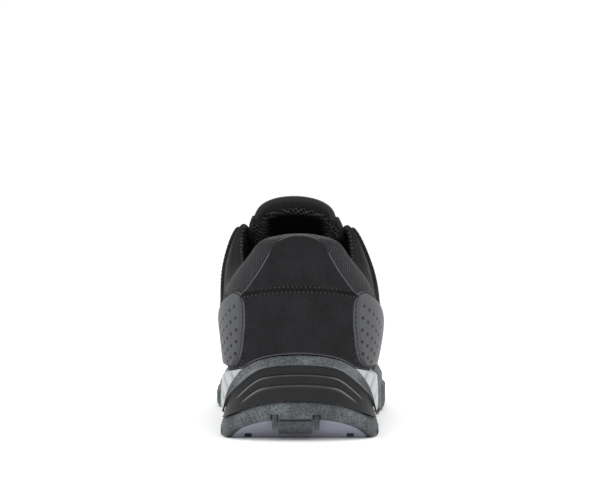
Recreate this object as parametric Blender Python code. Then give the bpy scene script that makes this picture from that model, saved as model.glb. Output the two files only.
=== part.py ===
"""Low-cut safety sneaker for the right foot, as separate pieces at real size.

+Y runs from the heel to the toe, +X to the outer (lateral) side and +Z up. The origin is on
the floor, under the middle of the shoe. All sizes are in metres.

The upper, the sole and every overlay come from one set of functions of two numbers. The
station u walks round the shoe: 0 is the back of the heel, 16 the tip of the toe, 0 to 16 the
lateral side and 32 down to 16 the medial side. The rise t walks up the upper from the feather
line, where it meets the sole, at 0, to the top line, throat edge or vamp ridge, at 1.
"""

import math
from collections import namedtuple

import bmesh
import bpy
import numpy as np
from mathutils import Matrix

# Driving sizes of the last and the sole
SHOE_LENGTH = 0.302
BALL_WIDTH = 0.1055
WAIST_WIDTH = 0.0765
HEEL_WIDTH = 0.083
HEEL_STACK = 0.0378
BALL_STACK = 0.0228
TOE_STACK = 0.0345
TOE_SPRING = 0.012
SPRING_START = 0.70
FEATHER_INSET = 0.0058

# Driving sizes of the upper
BACK_HEIGHT = 0.0995
ANKLE_HEIGHT = 0.079
INSTEP_HEIGHT = 0.1125
VAMP_HEIGHT = 0.079
TOE_HEIGHT = 0.0675
COLLAR_WIDTH = 0.068
THROAT_TOP_WIDTH = 0.062
THROAT_LOW_WIDTH = 0.030
RIDGE_SHIFT = 0.0048
UPPER_WALL = 0.0026
COLLAR_PAD = 0.0085
THROAT_WALL = 0.0036

# Driving sizes of the sole's pieces
LUG_DEPTH = 0.004
PLATE_THICKNESS = 0.003
ARCH_RISE = 0.0075
WALL_INSET = 0.0028
RIM_RISE = 0.0048
RUBBER_WALL = 0.0016
SIDE_LUG_PROUD = 0.0014
BEVEL_HEIGHT = 0.0108
BEVEL_RUN = 0.0175
HEEL_FILL = 0.0085
GROOVE_WIDTH = 0.0045
CENTRE_GROOVE_WIDTH = 0.006
NOTCH_WIDTH = 0.004
NOTCH_SHIFT = -0.0018
NOTCH_SPACING = 0.0212
NOTCH_HEIGHT = 0.0134
NOTCH_DEPTH = 0.0034
INSOLE_THICKNESS = 0.0045

# Driving sizes of the overlays, tongue and laces
FIT_GAP = 0.0003
SKIN_GAP = 0.0004
NUBUCK = 0.0015
PANEL_RIM = 0.0012
PANEL_RAISED = 0.0023
CAP_THICKNESS = 0.0022
CAP_GAP = 0.0008
TONGUE_RISE = 0.0078
TONGUE_CROWN = 0.011
TONGUE_THICKNESS = 0.005
TONGUE_GAP = 0.002
EYELET_WIDTH = 0.0084
EYELET_HOLE = 0.0046
EYELET_THICKNESS = 0.001
LACE_WIDTH = 0.0062
LACE_THICKNESS = 0.002
LACE_ARCH = 0.005

STATIONS = 16
LOOP = 2 * STATIONS
THROAT_START = 8.0
THROAT_END = 11.0
CUP_END = 3.4
CAP_STATIONS = 3.4

# Ground outline. x is a share of half the width that the row follows, y a share of the length.
Outline = namedtuple("Outline", "y width lateral medial")
OUTLINE = (
    Outline(0.000, HEEL_WIDTH, 0.00, 0.00),
    Outline(0.007, HEEL_WIDTH, 0.44, 0.44),
    Outline(0.031, HEEL_WIDTH, 0.77, 0.77),
    Outline(0.076, HEEL_WIDTH, 0.96, 0.95),
    Outline(0.139, HEEL_WIDTH, 1.01, 0.99),
    Outline(0.225, HEEL_WIDTH, 1.00, 0.95),
    Outline(0.318, WAIST_WIDTH, 1.07, 0.97),
    Outline(0.411, WAIST_WIDTH, 1.15, 1.01),
    Outline(0.503, BALL_WIDTH, 0.92, 0.80),
    Outline(0.596, BALL_WIDTH, 0.99, 0.91),
    Outline(0.682, BALL_WIDTH, 1.02, 0.98),
    Outline(0.768, BALL_WIDTH, 0.99, 0.98),
    Outline(0.848, BALL_WIDTH, 0.89, 0.93),
    Outline(0.917, BALL_WIDTH, 0.70, 0.80),
    Outline(0.967, BALL_WIDTH, 0.44, 0.58),
    Outline(0.993, BALL_WIDTH, 0.15, 0.33),
    Outline(1.000, BALL_WIDTH, -0.09, 0.09),
)

# Feather line, where upper and sole meet: its inset as a share of FEATHER_INSET and its
# height as a share of a stack height. wrap is how far the outsole's rubber climbs the side,
# from its own plate (0) to the rim above the feather line (1).
Feather = namedtuple("Feather", "inset height stack wrap_lateral wrap_medial")
FEATHER = (
    Feather(1.00, 1.00, HEEL_STACK, 0.36, 0.36),
    Feather(1.00, 0.99, HEEL_STACK, 0.32, 0.32),
    Feather(0.90, 0.95, HEEL_STACK, 0.195, 0.195),
    Feather(0.80, 0.90, HEEL_STACK, 0.09, 0.09),
    Feather(0.76, 0.87, HEEL_STACK, 0.05, 0.05),
    Feather(0.72, 0.85, HEEL_STACK, 0.04, 0.04),
    Feather(0.62, 0.81, HEEL_STACK, 0.06, 0.06),
    Feather(0.60, 0.77, HEEL_STACK, 0.30, 0.15),
    Feather(0.75, 1.16, BALL_STACK, 0.76, 0.32),
    Feather(0.90, 1.04, BALL_STACK, 1.00, 0.46),
    Feather(1.00, 0.99, BALL_STACK, 1.00, 0.56),
    Feather(1.00, 1.02, BALL_STACK, 1.00, 0.64),
    Feather(1.00, 1.13, BALL_STACK, 1.00, 0.82),
    Feather(1.00, 0.83, TOE_STACK, 1.00, 1.00),
    Feather(1.00, 0.94, TOE_STACK, 1.00, 1.00),
    Feather(1.00, 0.99, TOE_STACK, 1.00, 1.00),
    Feather(1.00, 1.00, TOE_STACK, 1.00, 1.00),
)

# Top line of the collar, throat edge and vamp ridge. x is a share of half the row's width
# and counts only up to the throat's top, where the throat's own widths take over.
TopLine = namedtuple("TopLine", "y width lateral medial height_lateral height_medial height")
TOP_LINE = (
    TopLine(0.031, COLLAR_WIDTH, 0.00, 0.00, 1.000, 1.000, BACK_HEIGHT),
    TopLine(0.035, COLLAR_WIDTH, 0.34, 0.34, 0.995, 0.995, BACK_HEIGHT),
    TopLine(0.055, COLLAR_WIDTH, 0.63, 0.63, 0.982, 0.984, BACK_HEIGHT),
    TopLine(0.095, COLLAR_WIDTH, 0.80, 0.80, 0.910, 0.917, BACK_HEIGHT),
    TopLine(0.155, COLLAR_WIDTH, 0.93, 0.92, 1.045, 1.070, ANKLE_HEIGHT),
    TopLine(0.228, COLLAR_WIDTH, 1.00, 1.02, 1.000, 1.035, ANKLE_HEIGHT),
    TopLine(0.298, COLLAR_WIDTH, 1.03, 1.05, 1.085, 1.125, ANKLE_HEIGHT),
    TopLine(0.356, COLLAR_WIDTH, 1.02, 1.02, 0.900, 0.920, INSTEP_HEIGHT),
    TopLine(0.396, THROAT_TOP_WIDTH, 1.00, 1.00, 1.000, 1.005, INSTEP_HEIGHT),
    TopLine(0.490, THROAT_TOP_WIDTH, 0.80, 0.80, 0.905, 0.905, INSTEP_HEIGHT),
    TopLine(0.590, THROAT_TOP_WIDTH, 0.60, 0.60, 1.135, 1.135, VAMP_HEIGHT),
    TopLine(0.682, THROAT_TOP_WIDTH, 0.00, 0.00, 1.000, 1.000, VAMP_HEIGHT),
    TopLine(0.748, THROAT_TOP_WIDTH, 0.00, 0.00, 0.932, 0.932, VAMP_HEIGHT),
    TopLine(0.798, THROAT_TOP_WIDTH, 0.00, 0.00, 1.047, 1.047, TOE_HEIGHT),
    TopLine(0.832, THROAT_TOP_WIDTH, 0.00, 0.00, 1.023, 1.023, TOE_HEIGHT),
    TopLine(0.854, THROAT_TOP_WIDTH, 0.00, 0.00, 1.006, 1.006, TOE_HEIGHT),
    TopLine(0.862, THROAT_TOP_WIDTH, 0.00, 0.00, 1.000, 1.000, TOE_HEIGHT),
)

# Side profile from feather to top, a cubic with two handles. belly and rise lead away from
# the feather, outwards (share of FEATHER_INSET) and upwards (share of the height). lean, out
# and drop lead to the top, from further out along the profile's run, outwards and from below.
Profile = namedtuple("Profile", "belly belly_medial rise lean out drop")
PROFILE = (
    Profile(0.85, 0.85, 0.34, 0.00, -0.90, 0.28),
    Profile(0.90, 0.90, 0.34, 0.00, -0.55, 0.28),
    Profile(1.00, 0.85, 0.36, 0.00, 0.60, 0.26),
    Profile(0.95, 0.50, 0.38, 0.00, 1.95, 0.22),
    Profile(0.90, 0.30, 0.40, 0.00, 2.45, 0.20),
    Profile(0.95, 0.30, 0.40, 0.00, 2.45, 0.19),
    Profile(1.25, 0.65, 0.40, 0.00, 2.40, 0.17),
    Profile(1.50, 1.15, 0.38, 0.04, 2.10, 0.17),
    Profile(1.30, 1.20, 0.38, 0.14, 1.55, 0.15),
    Profile(0.90, 0.90, 0.40, 0.36, 0.80, 0.06),
    Profile(0.65, 0.65, 0.42, 0.50, 0.30, 0.01),
    Profile(0.50, 0.50, 0.46, 0.56, 0.00, 0.00),
    Profile(0.50, 0.50, 0.50, 0.57, 0.00, 0.00),
    Profile(0.50, 0.50, 0.54, 0.58, 0.00, 0.00),
    Profile(0.50, 0.50, 0.56, 0.58, 0.00, 0.00),
    Profile(0.50, 0.50, 0.57, 0.58, 0.00, 0.00),
    Profile(0.50, 0.50, 0.57, 0.58, 0.00, 0.00),
)


def around(lateral, medial=None):
    """One value a station for the whole loop, up the lateral side and back down the medial."""
    lateral = list(lateral)
    medial = lateral if medial is None else list(medial)
    return np.array(lateral + medial[-2:0:-1], float)


OUTLINE_X = around(
    (row.lateral * row.width / 2 for row in OUTLINE),
    (-row.medial * row.width / 2 for row in OUTLINE),
)
OUTLINE_Y = around(row.y * SHOE_LENGTH for row in OUTLINE)
FEATHER_Z = around(row.height * row.stack for row in FEATHER)
INSET = around(row.inset * FEATHER_INSET for row in FEATHER)
WRAP = around((row.wrap_lateral for row in FEATHER), (row.wrap_medial for row in FEATHER))
TOP_X = around(
    (row.lateral * row.width / 2 for row in TOP_LINE),
    (-row.medial * row.width / 2 for row in TOP_LINE),
)
TOP_Y = around(row.y * SHOE_LENGTH for row in TOP_LINE)
TOP_Z = around(
    (row.height_lateral * row.height for row in TOP_LINE),
    (row.height_medial * row.height for row in TOP_LINE),
)
BELLY = around((row.belly for row in PROFILE), (row.belly_medial for row in PROFILE))
RISE, LEAN, OUT, DROP = (
    around(getattr(row, name) for row in PROFILE) for name in ("rise", "lean", "out", "drop")
)


def smooth_step(value, low, high):
    share = min(max((value - low) / (high - low), 0.0), 1.0)
    return share * share * (3 - 2 * share)


def loop_value(values, u):
    """Smooth curve through the values of the stations, closed round the shoe."""
    whole = math.floor(u)
    f = u - whole
    a, b, c, d = (values[(whole + k) % LOOP] for k in (-1, 0, 1, 2))
    return b + 0.5 * f * (c - a + f * (2 * a - 5 * b + 4 * c - d + f * (3 * (b - c) + d - a)))


def side_station(u):
    """Distance of a station from the back of the heel, 0 to 16 on either side."""
    u = u % LOOP
    return min(u, LOOP - u)


def plan_normal(u):
    step = 0.04
    dx = loop_value(OUTLINE_X, u + step) - loop_value(OUTLINE_X, u - step)
    dy = loop_value(OUTLINE_Y, u + step) - loop_value(OUTLINE_Y, u - step)
    return np.array((dy, -dx, 0.0)) / math.hypot(dx, dy)


def outline_point(u, inset, z=0.0):
    """Point at a height on the ground outline, moved inwards by inset."""
    point = np.array((loop_value(OUTLINE_X, u), loop_value(OUTLINE_Y, u), z))
    return point - plan_normal(u) * inset


def feather_point(u):
    return outline_point(u, loop_value(INSET, u), loop_value(FEATHER_Z, u))


def ridge_x(station):
    """x of the line down the middle of throat, vamp and toe, which leans to the big toe."""
    share = 0.45 * smooth_step(station, 5, THROAT_START)
    return -RIDGE_SHIFT * (share + 0.55 * smooth_step(station, THROAT_START, STATIONS))


def throat_half_width(station):
    """Half the throat's opening, round at its lower end and nil beyond it."""
    along = (station - THROAT_START) / (THROAT_END - THROAT_START)
    if along >= 1.0:
        return 0.0
    low, top = THROAT_LOW_WIDTH / 2, THROAT_TOP_WIDTH / 2
    return (low + (top - low) * (1 - along) ** 1.5) * math.sqrt(1 - along**7)


def top_point(u):
    station = side_station(u)
    side = 1.0 if u % LOOP < STATIONS else -1.0
    x = loop_value(TOP_X, u)
    if station > THROAT_START:
        x = side * throat_half_width(station)
    return np.array((ridge_x(station) + x, loop_value(TOP_Y, u), loop_value(TOP_Z, u)))


def upper_point(u, t):
    """Point of the upper's outer face."""
    low, top, normal = feather_point(u), top_point(u), plan_normal(u)
    up = np.array((0.0, 0.0, top[2] - low[2]))
    run = (low - top) * (1, 1, 0)
    belly, rise, lean, out, drop = (loop_value(v, u) for v in (BELLY, RISE, LEAN, OUT, DROP))
    first = low + normal * belly * FEATHER_INSET + up * rise
    second = top + run * lean + normal * out * FEATHER_INSET - up * drop
    s = 1 - t
    return s**3 * low + 3 * s * s * t * first + 3 * s * t * t * second + t**3 * top


def upper_normal(u, t):
    """Outward normal of the upper's outer face. On the ridge it has no sideways lean."""
    if t >= 1.0 and side_station(u) >= THROAT_END:
        behind, ahead = top_point(THROAT_END), top_point(STATIONS)
        normal = np.array((0.0, behind[2] - ahead[2], ahead[1] - behind[1]))
        return normal / np.linalg.norm(normal)
    step_u, step_t = 0.03, 0.015
    along = upper_point(u + step_u, t) - upper_point(u - step_u, t)
    up = upper_point(u, min(t + step_t, 1.0)) - upper_point(u, max(t - step_t, 0.0))
    normal = np.cross(along, up)
    return normal / np.linalg.norm(normal)


def skin_point(u, t, out):
    """Point off the upper's outer face, outwards by out."""
    return upper_point(u, t) + upper_normal(u, t) * out


def rise_at(u, z):
    """The rise t at which the upper's outer face has the height z."""
    low, high = 0.0, 1.0
    for _ in range(20):
        middle = (low + high) / 2
        if upper_point(u, middle)[2] < z:
            low = middle
        else:
            high = middle
    return (low + high) / 2


def sole_bottom(y):
    """Height of the tread: flat at heel and ball, raised in the arch and sprung at the toe."""
    share = y / SHOE_LENGTH
    arch = smooth_step(share, 0.265, 0.325) * (1 - smooth_step(share, 0.37, 0.455))
    spring = max(0.0, (share - SPRING_START) / (1 - SPRING_START))
    return ARCH_RISE * arch + TOE_SPRING * spring * spring


def tread_height(y):
    """Height of the tread with the bevel at the back of the heel."""
    return max(sole_bottom(y), BEVEL_HEIGHT * (1 - y / BEVEL_RUN))


def plate_height(u):
    """Top of the outsole's plate."""
    return sole_bottom(loop_value(OUTLINE_Y, u)) + LUG_DEPTH + PLATE_THICKNESS


def floor_height(u):
    """Top of the plate with its fill at the heel, on which the midsole lies."""
    y = loop_value(OUTLINE_Y, u)
    return plate_height(u) + HEEL_FILL * (1 - smooth_step(y / SHOE_LENGTH, 0.005, 0.045))


def body_point(u, z, out):
    """Point off the midsole's wall or, above the feather line, off the upper."""
    feather = loop_value(FEATHER_Z, u)
    if z > feather:
        return upper_point(u, rise_at(u, z)) + plan_normal(u) * out
    floor = floor_height(u)
    share = min(max((z - floor) / (feather - floor), 0.0), 1.0)
    inset = WALL_INSET + (loop_value(INSET, u) - WALL_INSET) * share
    return outline_point(u, inset - out, z)


def rim_height(u):
    return loop_value(FEATHER_Z, u) + RIM_RISE


def wrap_top(u):
    """Top of the outsole's rubber on the side of the sole."""
    plate = plate_height(u)
    return plate + loop_value(WRAP, u) * (rim_height(u) - plate)


def cup_top(u):
    """Top of the heel cup, an arch seen from behind."""
    share = max(0.0, 1 - (side_station(u) / CUP_END) ** 5)
    return wrap_top(u) + (rim_height(0) - wrap_top(0)) * share


# Materials as colour, roughness and metallic value
MATERIALS = {
    "mesh_textile": ((0.045, 0.045, 0.047), 0.85, 0.0),
    "nubuck": ((0.027, 0.027, 0.029), 0.80, 0.0),
    "soft_tpu": ((0.105, 0.108, 0.118), 0.50, 0.0),
    "outsole_rubber": ((0.095, 0.100, 0.108), 0.60, 0.0),
    "heel_rubber": ((0.035, 0.035, 0.038), 0.50, 0.0),
    "midsole_foam": ((0.48, 0.50, 0.51), 0.60, 0.0),
    "insole_foam": ((0.03, 0.03, 0.03), 0.90, 0.0),
    "lace_cord": ((0.022, 0.022, 0.023), 0.85, 0.0),
    "eyelet_metal": ((0.05, 0.05, 0.055), 0.35, 0.9),
}


def material(name):
    found = bpy.data.materials.get(name)
    if found:
        return found
    colour, roughness, metallic = MATERIALS[name]
    made = bpy.data.materials.new(name)
    made.use_nodes = True
    shader = made.node_tree.nodes["Principled BSDF"]
    shader.inputs["Base Color"].default_value = (*colour, 1.0)
    shader.inputs["Roughness"].default_value = roughness
    shader.inputs["Metallic"].default_value = metallic
    return made


def add_object(name, verts, faces, material_name=None, smooth_degrees=35):
    """A closed mesh object, with doubled points welded and faces turned outwards. One
    without a material is a hidden cutter."""
    mesh = bpy.data.meshes.new(name)
    mesh.from_pydata([tuple(map(float, v)) for v in verts], [], faces)
    work = bmesh.new()
    work.from_mesh(mesh)
    bmesh.ops.remove_doubles(work, verts=work.verts, dist=1e-6)
    bmesh.ops.delete(work, geom=[v for v in work.verts if not v.link_faces], context="VERTS")
    bmesh.ops.recalc_face_normals(work, faces=work.faces)
    work.to_mesh(mesh)
    work.free()
    made = bpy.data.objects.new(name, mesh)
    bpy.context.scene.collection.objects.link(made)
    if material_name is None:
        made.display_type = "WIRE"
        made.hide_render = True
        return made
    mesh.shade_smooth()
    mesh.set_sharp_from_angle(angle=math.radians(smooth_degrees))
    mesh.materials.append(material(material_name))
    return made


def boolean(target, operation, other):
    modifier = target.modifiers.new(other.name, "BOOLEAN")
    modifier.operation = operation
    modifier.object = other
    modifier.solver = "EXACT"


def loft(name, rings, material_name, smooth_degrees=35):
    """Solid between stacked rings that go round the shoe. Each end ring is closed by rungs
    that join its lateral and medial points."""
    count = len(rings[0])
    verts = [point for ring in rings for point in ring]
    faces = []
    for level in range(len(rings) - 1):
        for i in range(count):
            j = (i + 1) % count
            a, b = level * count, (level + 1) * count
            faces.append((a + i, a + j, b + j, b + i))
    for start in (0, (len(rings) - 1) * count):
        for i in range(count // 2):
            rung = (i, i + 1, count - i - 1, (count - i) % count)
            faces.append(tuple(start + k for k in dict.fromkeys(rung)))
    return add_object(name, verts, faces, material_name, smooth_degrees)


def sweep(name, sections, material_name, joined=None, closed=False):
    """Solid swept through sections, each an outer line, a rim and an inner line of points.
    Where neighbours are both joined, their tops meet the other side and get no rim."""
    outer_count, rim_count = len(sections[0][0]), len(sections[0][1])
    loops = [list(outer) + list(rim) + list(inner)[::-1] for outer, rim, inner in sections]
    size, columns = len(loops[0]), len(loops)
    verts = [point for loop in loops for point in loop]
    joined = joined or [False] * columns
    faces = []
    for i in range(columns if closed else columns - 1):
        n = (i + 1) % columns
        for j in range(size):
            k = (j + 1) % size
            in_rim = outer_count - 1 <= j < outer_count + rim_count
            if not (in_rim and joined[i] and joined[n]):
                faces.append((i * size + j, n * size + j, n * size + k, i * size + k))
    if not closed:
        for start in (0, (columns - 1) * size):
            for j in range(outer_count - 1):
                faces.append((start + j, start + j + 1, start + size - 2 - j, start + size - 1 - j))
            if rim_count:
                faces.append(tuple(start + outer_count - 1 + j for j in range(rim_count + 2)))
    return add_object(name, verts, faces, material_name)


def box(low, high):
    """Corners and faces of a box."""
    verts = [(x, y, z) for z in (low[2], high[2]) for y in (low[1], high[1]) for x in (low[0], high[0])]
    faces = [(0, 2, 3, 1), (4, 5, 7, 6), (0, 1, 5, 4), (2, 6, 7, 3), (0, 4, 6, 2), (1, 3, 7, 5)]
    return verts, faces


def boxes(name, corners):
    """One cutter made of boxes that do not touch."""
    verts, faces = [], []
    for low, high in corners:
        more_verts, more_faces = box(low, high)
        faces += [tuple(len(verts) + k for k in face) for face in more_faces]
        verts += more_verts
    return add_object(name, verts, faces)


def upper_wall(u, t):
    """Thickness of the upper: thin at the vamp, firm at the throat and padded at the collar."""
    station = side_station(u)
    throat = smooth_step(station, 5.6, 7.8)
    padded = (COLLAR_PAD - UPPER_WALL) * smooth_step(t, 0.45, 0.92) * (1 - throat)
    fade = 1 - smooth_step(station, THROAT_END - 1, THROAT_END)
    firm = (THROAT_WALL - UPPER_WALL) * smooth_step(t, 0.6, 0.95) * throat * fade
    return UPPER_WALL + padded + firm


def inner_point(u, t, gap=0.0):
    """Point of the upper's inner face, or inside it by gap."""
    point = skin_point(u, t, -upper_wall(u, t) - gap)
    point[2] = max(point[2], loop_value(FEATHER_Z, u))
    return point


def mirrored(stations):
    """The same stations up the lateral side and back down the medial side."""
    return list(stations) + [LOOP - u for u in stations[-2:0:-1]]


UPPER_RISES = (0.0, 0.12, 0.26, 0.40, 0.54, 0.67, 0.79, 0.90, 1.0)


def build_upper():
    """Hollow upper, open at the collar and throat and underneath, with a rolled top line."""
    collar = [0.5 * k for k in range(17)]
    throat = [8.4, 8.8, 9.2, 9.6, 10.0, 10.35, 10.65, 10.85, 10.95]
    vamp = [THROAT_END + 0.5 * k for k in range(11)]
    us = mirrored(collar + throat + vamp)
    sections = []
    for u in us:
        outer = [upper_point(u, t) for t in UPPER_RISES]
        inner = [inner_point(u, t) for t in UPPER_RISES]
        tangent = outer[-1] - upper_point(u, 0.97)
        middle = (outer[-1] + inner[-1]) / 2
        swell = 0.42 - 0.22 * smooth_step(side_station(u), 7.5, 9)
        lift = tangent / np.linalg.norm(tangent) * np.linalg.norm(outer[-1] - inner[-1]) * swell
        lift *= side_station(u) < THROAT_END
        angles = [math.radians(a) for a in (40, 90, 140)]
        rim = [middle + (outer[-1] - middle) * math.cos(a) + lift * math.sin(a) for a in angles]
        sections.append((outer, rim, inner))
    joined = [side_station(u) >= THROAT_END for u in us]
    return sweep("upper", sections, "mesh_textile", joined, closed=True)


def build_midsole():
    us = mirrored([0.5 * k for k in range(33)])
    rings = []
    for share in (0.0, 0.5, 1.0):
        ring = []
        for u in us:
            floor, feather = floor_height(u) + FIT_GAP, loop_value(FEATHER_Z, u) - FIT_GAP
            ring.append(body_point(u, floor + (feather - floor) * share, 0.0))
        rings.append(ring)
    loft("midsole", rings, "midsole_foam")


def build_insole():
    us = mirrored([0.5 * k for k in range(33)])
    rings = []
    for rise, inset in ((0.0, 0.6), (0.35, 0.45), (1.0, 0.9)):
        ring = []
        for u in us:
            z = loop_value(FEATHER_Z, u) + rise * INSOLE_THICKNESS
            ring.append(outline_point(u, loop_value(INSET, u) + UPPER_WALL * (1 + inset), z))
        rings.append(ring)
    loft("insole", rings, "insole_foam")


# Grooves of the tread across the shoe, as shares of its length
CROSS_GROOVES = (0.078, 0.135, 0.192, 0.249, 0.462, 0.515, 0.568, 0.621, 0.674, 0.727, 0.780, 0.833, 0.886)


TOOTH_SLOPE = 0.06


def build_outsole():
    """Rubber tread whose rim climbs the side: a band round the heel, teeth along the
    forefoot and a bumper at the toe. The grooves between the lugs are cut into it."""
    stations = [k / 4 for k in range(14)] + [k / 2 for k in range(7, 15)]
    for k in range(15, 32):
        stations += [k / 2, k / 2 + TOOTH_SLOPE]
    us = mirrored(stations + [STATIONS])
    rows = {name: [] for name in ("tread", "foot", "low", "high", "shoulder", "rim", "lip", "floor")}
    for u in us:
        station = side_station(u)
        half_steps = math.floor(station * 2 + 1e-6)
        on_slope = station > 7.4 and station * 2 - half_steps > 1e-6
        root = half_steps / 2 if on_slope else station
        plain = root if u <= STATIONS else LOOP - root
        tooth = SIDE_LUG_PROUD * (half_steps % 2 == on_slope) * (station > 7.6)
        bottom, rim = tread_height(loop_value(OUTLINE_Y, u)), wrap_top(u)
        rise = rim - bottom
        rows["tread"].append(outline_point(u, LUG_DEPTH * 0.8, bottom))
        rows["foot"].append(outline_point(u, 0.0006 - tooth * 0.4, bottom + 0.05 * rise))
        rows["low"].append(outline_point(u, -tooth, bottom + 0.15 * rise))
        rows["high"].append(outline_point(u, -tooth, bottom + 0.55 * rise))
        rows["shoulder"].append(outline_point(u, 0.0004, bottom + 0.62 * rise))
        rows["rim"].append(body_point(plain, wrap_top(plain), RUBBER_WALL))
        rows["lip"].append(body_point(plain, wrap_top(plain), FIT_GAP))
        rows["floor"].append(body_point(plain, floor_height(plain), FIT_GAP))
    outsole = loft("outsole", list(rows.values()), "outsole_rubber", 28)
    half = BALL_WIDTH
    cuts = []
    for share in CROSS_GROOVES:
        y = share * SHOE_LENGTH
        top = sole_bottom(y) + LUG_DEPTH
        cuts.append(((-half, y, -LUG_DEPTH), (half, y + GROOVE_WIDTH, top)))
    boolean(outsole, "DIFFERENCE", boxes("cross_grooves", cuts))
    middle = CENTRE_GROOVE_WIDTH / 2
    cuts = [
        ((-middle, 0.085 * SHOE_LENGTH, -LUG_DEPTH), (middle, 0.255 * SHOE_LENGTH, LUG_DEPTH - FIT_GAP)),
        ((-middle, 0.468 * SHOE_LENGTH, -LUG_DEPTH), (middle, 0.735 * SHOE_LENGTH, LUG_DEPTH - FIT_GAP)),
    ]
    boolean(outsole, "DIFFERENCE", boxes("centre_grooves", cuts))
    cuts = []
    for side in (-1, 1):
        x = NOTCH_SHIFT + side * NOTCH_SPACING / 2
        low = (x - NOTCH_WIDTH / 2, -NOTCH_DEPTH, -LUG_DEPTH)
        cuts.append((low, (x + NOTCH_WIDTH / 2, NOTCH_DEPTH + 0.0005, NOTCH_HEIGHT)))
    boolean(outsole, "DIFFERENCE", boxes("heel_notches", cuts))


# Steps of the heel cup from its foot (0) to its rim (1), and how far each stands out
CupStep = namedtuple("CupStep", "rise out")
CUP_STEPS = (
    CupStep(0.00, 2.5),
    CupStep(0.34, 2.2),
    CupStep(0.37, 1.5),
    CupStep(0.57, 1.9),
    CupStep(0.60, 1.1),
    CupStep(0.77, 1.3),
    CupStep(0.80, 2.3),
    CupStep(0.97, 1.9),
    CupStep(1.00, 1.2),
)


# How much more the steps crowd towards the foot of the cup at its sides
CUP_SQUEEZE = 0.95


def build_heel_cup():
    """Rubber cup round the back of the midsole, arched and stepped."""
    sections = []
    for k in range(25):
        u = (k - 12) / 4
        low, high = wrap_top(u) + FIT_GAP, cup_top(u)
        squeeze = 1 + CUP_SQUEEZE * smooth_step(side_station(u) / CUP_END, 0.3, 0.735)
        outer, inner = [], []
        for step in CUP_STEPS:
            z = low + (high - low) * step.rise**squeeze
            outer.append(body_point(u, z, step.out * 0.001 + FIT_GAP))
            inner.append(body_point(u, z, FIT_GAP))
        sections.append((outer, [], inner))
    return sweep("heel_cup", sections, "heel_rubber")


def build_panel(name, grid, outs, material_name):
    """Overlay on the upper. grid holds (u, t) places in columns, outs each one's thickness."""
    sections = []
    for column, heights in zip(grid, outs):
        outer = [skin_point(u, t, SKIN_GAP + out) for (u, t), out in zip(column, heights)]
        inner = [skin_point(u, t, SKIN_GAP) for u, t in column]
        sections.append((outer, [], inner))
    return sweep(name, sections, material_name)


# Back edge of the side panels: height as a share of BACK_HEIGHT and station
PANEL_BACK = (
    (0.36, 2.30),
    (0.39, 2.03),
    (0.42, 1.90),
    (0.46, 1.82),
    (0.55, 1.79),
    (0.62, 1.86),
    (0.68, 1.97),
    (0.72, 2.10),
    (0.75, 2.28),
    (0.78, 2.55),
)
PANEL_LAST = 6.1
COUNTER_TOP = 0.745
COUNTER_GAP = 0.1


def panel_back(height):
    """Station of the side panels' back edge at a height."""
    share = height / BACK_HEIGHT
    for (low, first), (high, second) in zip(PANEL_BACK, PANEL_BACK[1:]):
        if share <= high:
            return first + (second - first) * max(share - low, 0) / (high - low)
    return PANEL_BACK[-1][1]


def build_heel_counter():
    """Back panel between the side panels, from the heel cup to the heel tab."""
    grid, outs = [], []
    high = COUNTER_TOP * BACK_HEIGHT
    foot = cup_top(PANEL_BACK[3][1])
    shares = (0.0, 0.1, 0.2, 0.4, 0.6, 0.8, 0.9, 1.0)
    for k in range(17):
        across = -1 + k / 8
        column = []
        for share in shares:
            u = across * (panel_back(foot + (high - foot) * share) - COUNTER_GAP)
            low_t, high_t = rise_at(u, cup_top(u) + 0.0006), rise_at(u, high)
            column.append((u, low_t + (high_t - low_t) * share))
        grid.append(column)
        outs.append([NUBUCK] * len(shares))
    build_panel("heel_counter", grid, outs, "nubuck")


# Bell outline of the heel tab: height as a share of BACK_HEIGHT and half width in stations
TAB = ((0.758, 2.13), (0.79, 1.90), (0.825, 1.74), (0.86, 1.61), (0.905, 1.45), (0.945, 1.28), (0.98, 1.05))
TAB_ROUND = 0.01


def build_heel_tab():
    grid, outs = [], []
    for k in range(13):
        across = -1 + k / 6
        column = []
        for height, half in TAB:
            u = across * half
            z = BACK_HEIGHT * (height - TAB_ROUND * across**2 * (height == TAB[-1][0]))
            column.append((u, min(rise_at(u, z), 0.98)))
        grid.append(column)
        outs.append([NUBUCK] * len(TAB))
    build_panel("heel_tab", grid, outs, "nubuck")


def build_side_panel(name, mirror):
    """Moulded panel at the side of the heel: a flat rim round a raised pad."""
    grid, outs = [], []
    shares = (0.0, 0.09, 0.14, 0.38, 0.62, 0.86, 0.91, 1.0)
    columns = (0.0, 0.055, 0.085, 0.15, 0.22, 0.29, 0.36, 0.45, 0.56, 0.68, 0.8, 0.91, 0.94, 1.0)
    widest = PANEL_BACK[4][1]
    lowest, highest = PANEL_BACK[0][0] * BACK_HEIGHT, PANEL_BACK[-1][0] * BACK_HEIGHT
    for across in columns:
        column = []
        for share in shares:
            first = panel_back(lowest + (highest - lowest) * share)
            station = first + (PANEL_LAST - first) * across
            place = (station - widest) / (PANEL_LAST - widest)
            u = LOOP - station if mirror else station
            foot = loop_value(FEATHER_Z, u) + 0.0012 * (1 + 3 * place)
            low = max(foot, cup_top(u) + 0.0006) if station < 3 else foot
            high = BACK_HEIGHT * (0.80 - 0.28 * place)
            low_t, high_t = rise_at(u, low), rise_at(u, high)
            column.append((u, low_t + (high_t - low_t) * share))
        grid.append(column)
        inside = 0.08 < across < 0.92
        outs.append([PANEL_RAISED if inside and 0.13 < share < 0.87 else PANEL_RIM for share in shares])
    build_panel(name, grid, outs, "soft_tpu")


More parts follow.
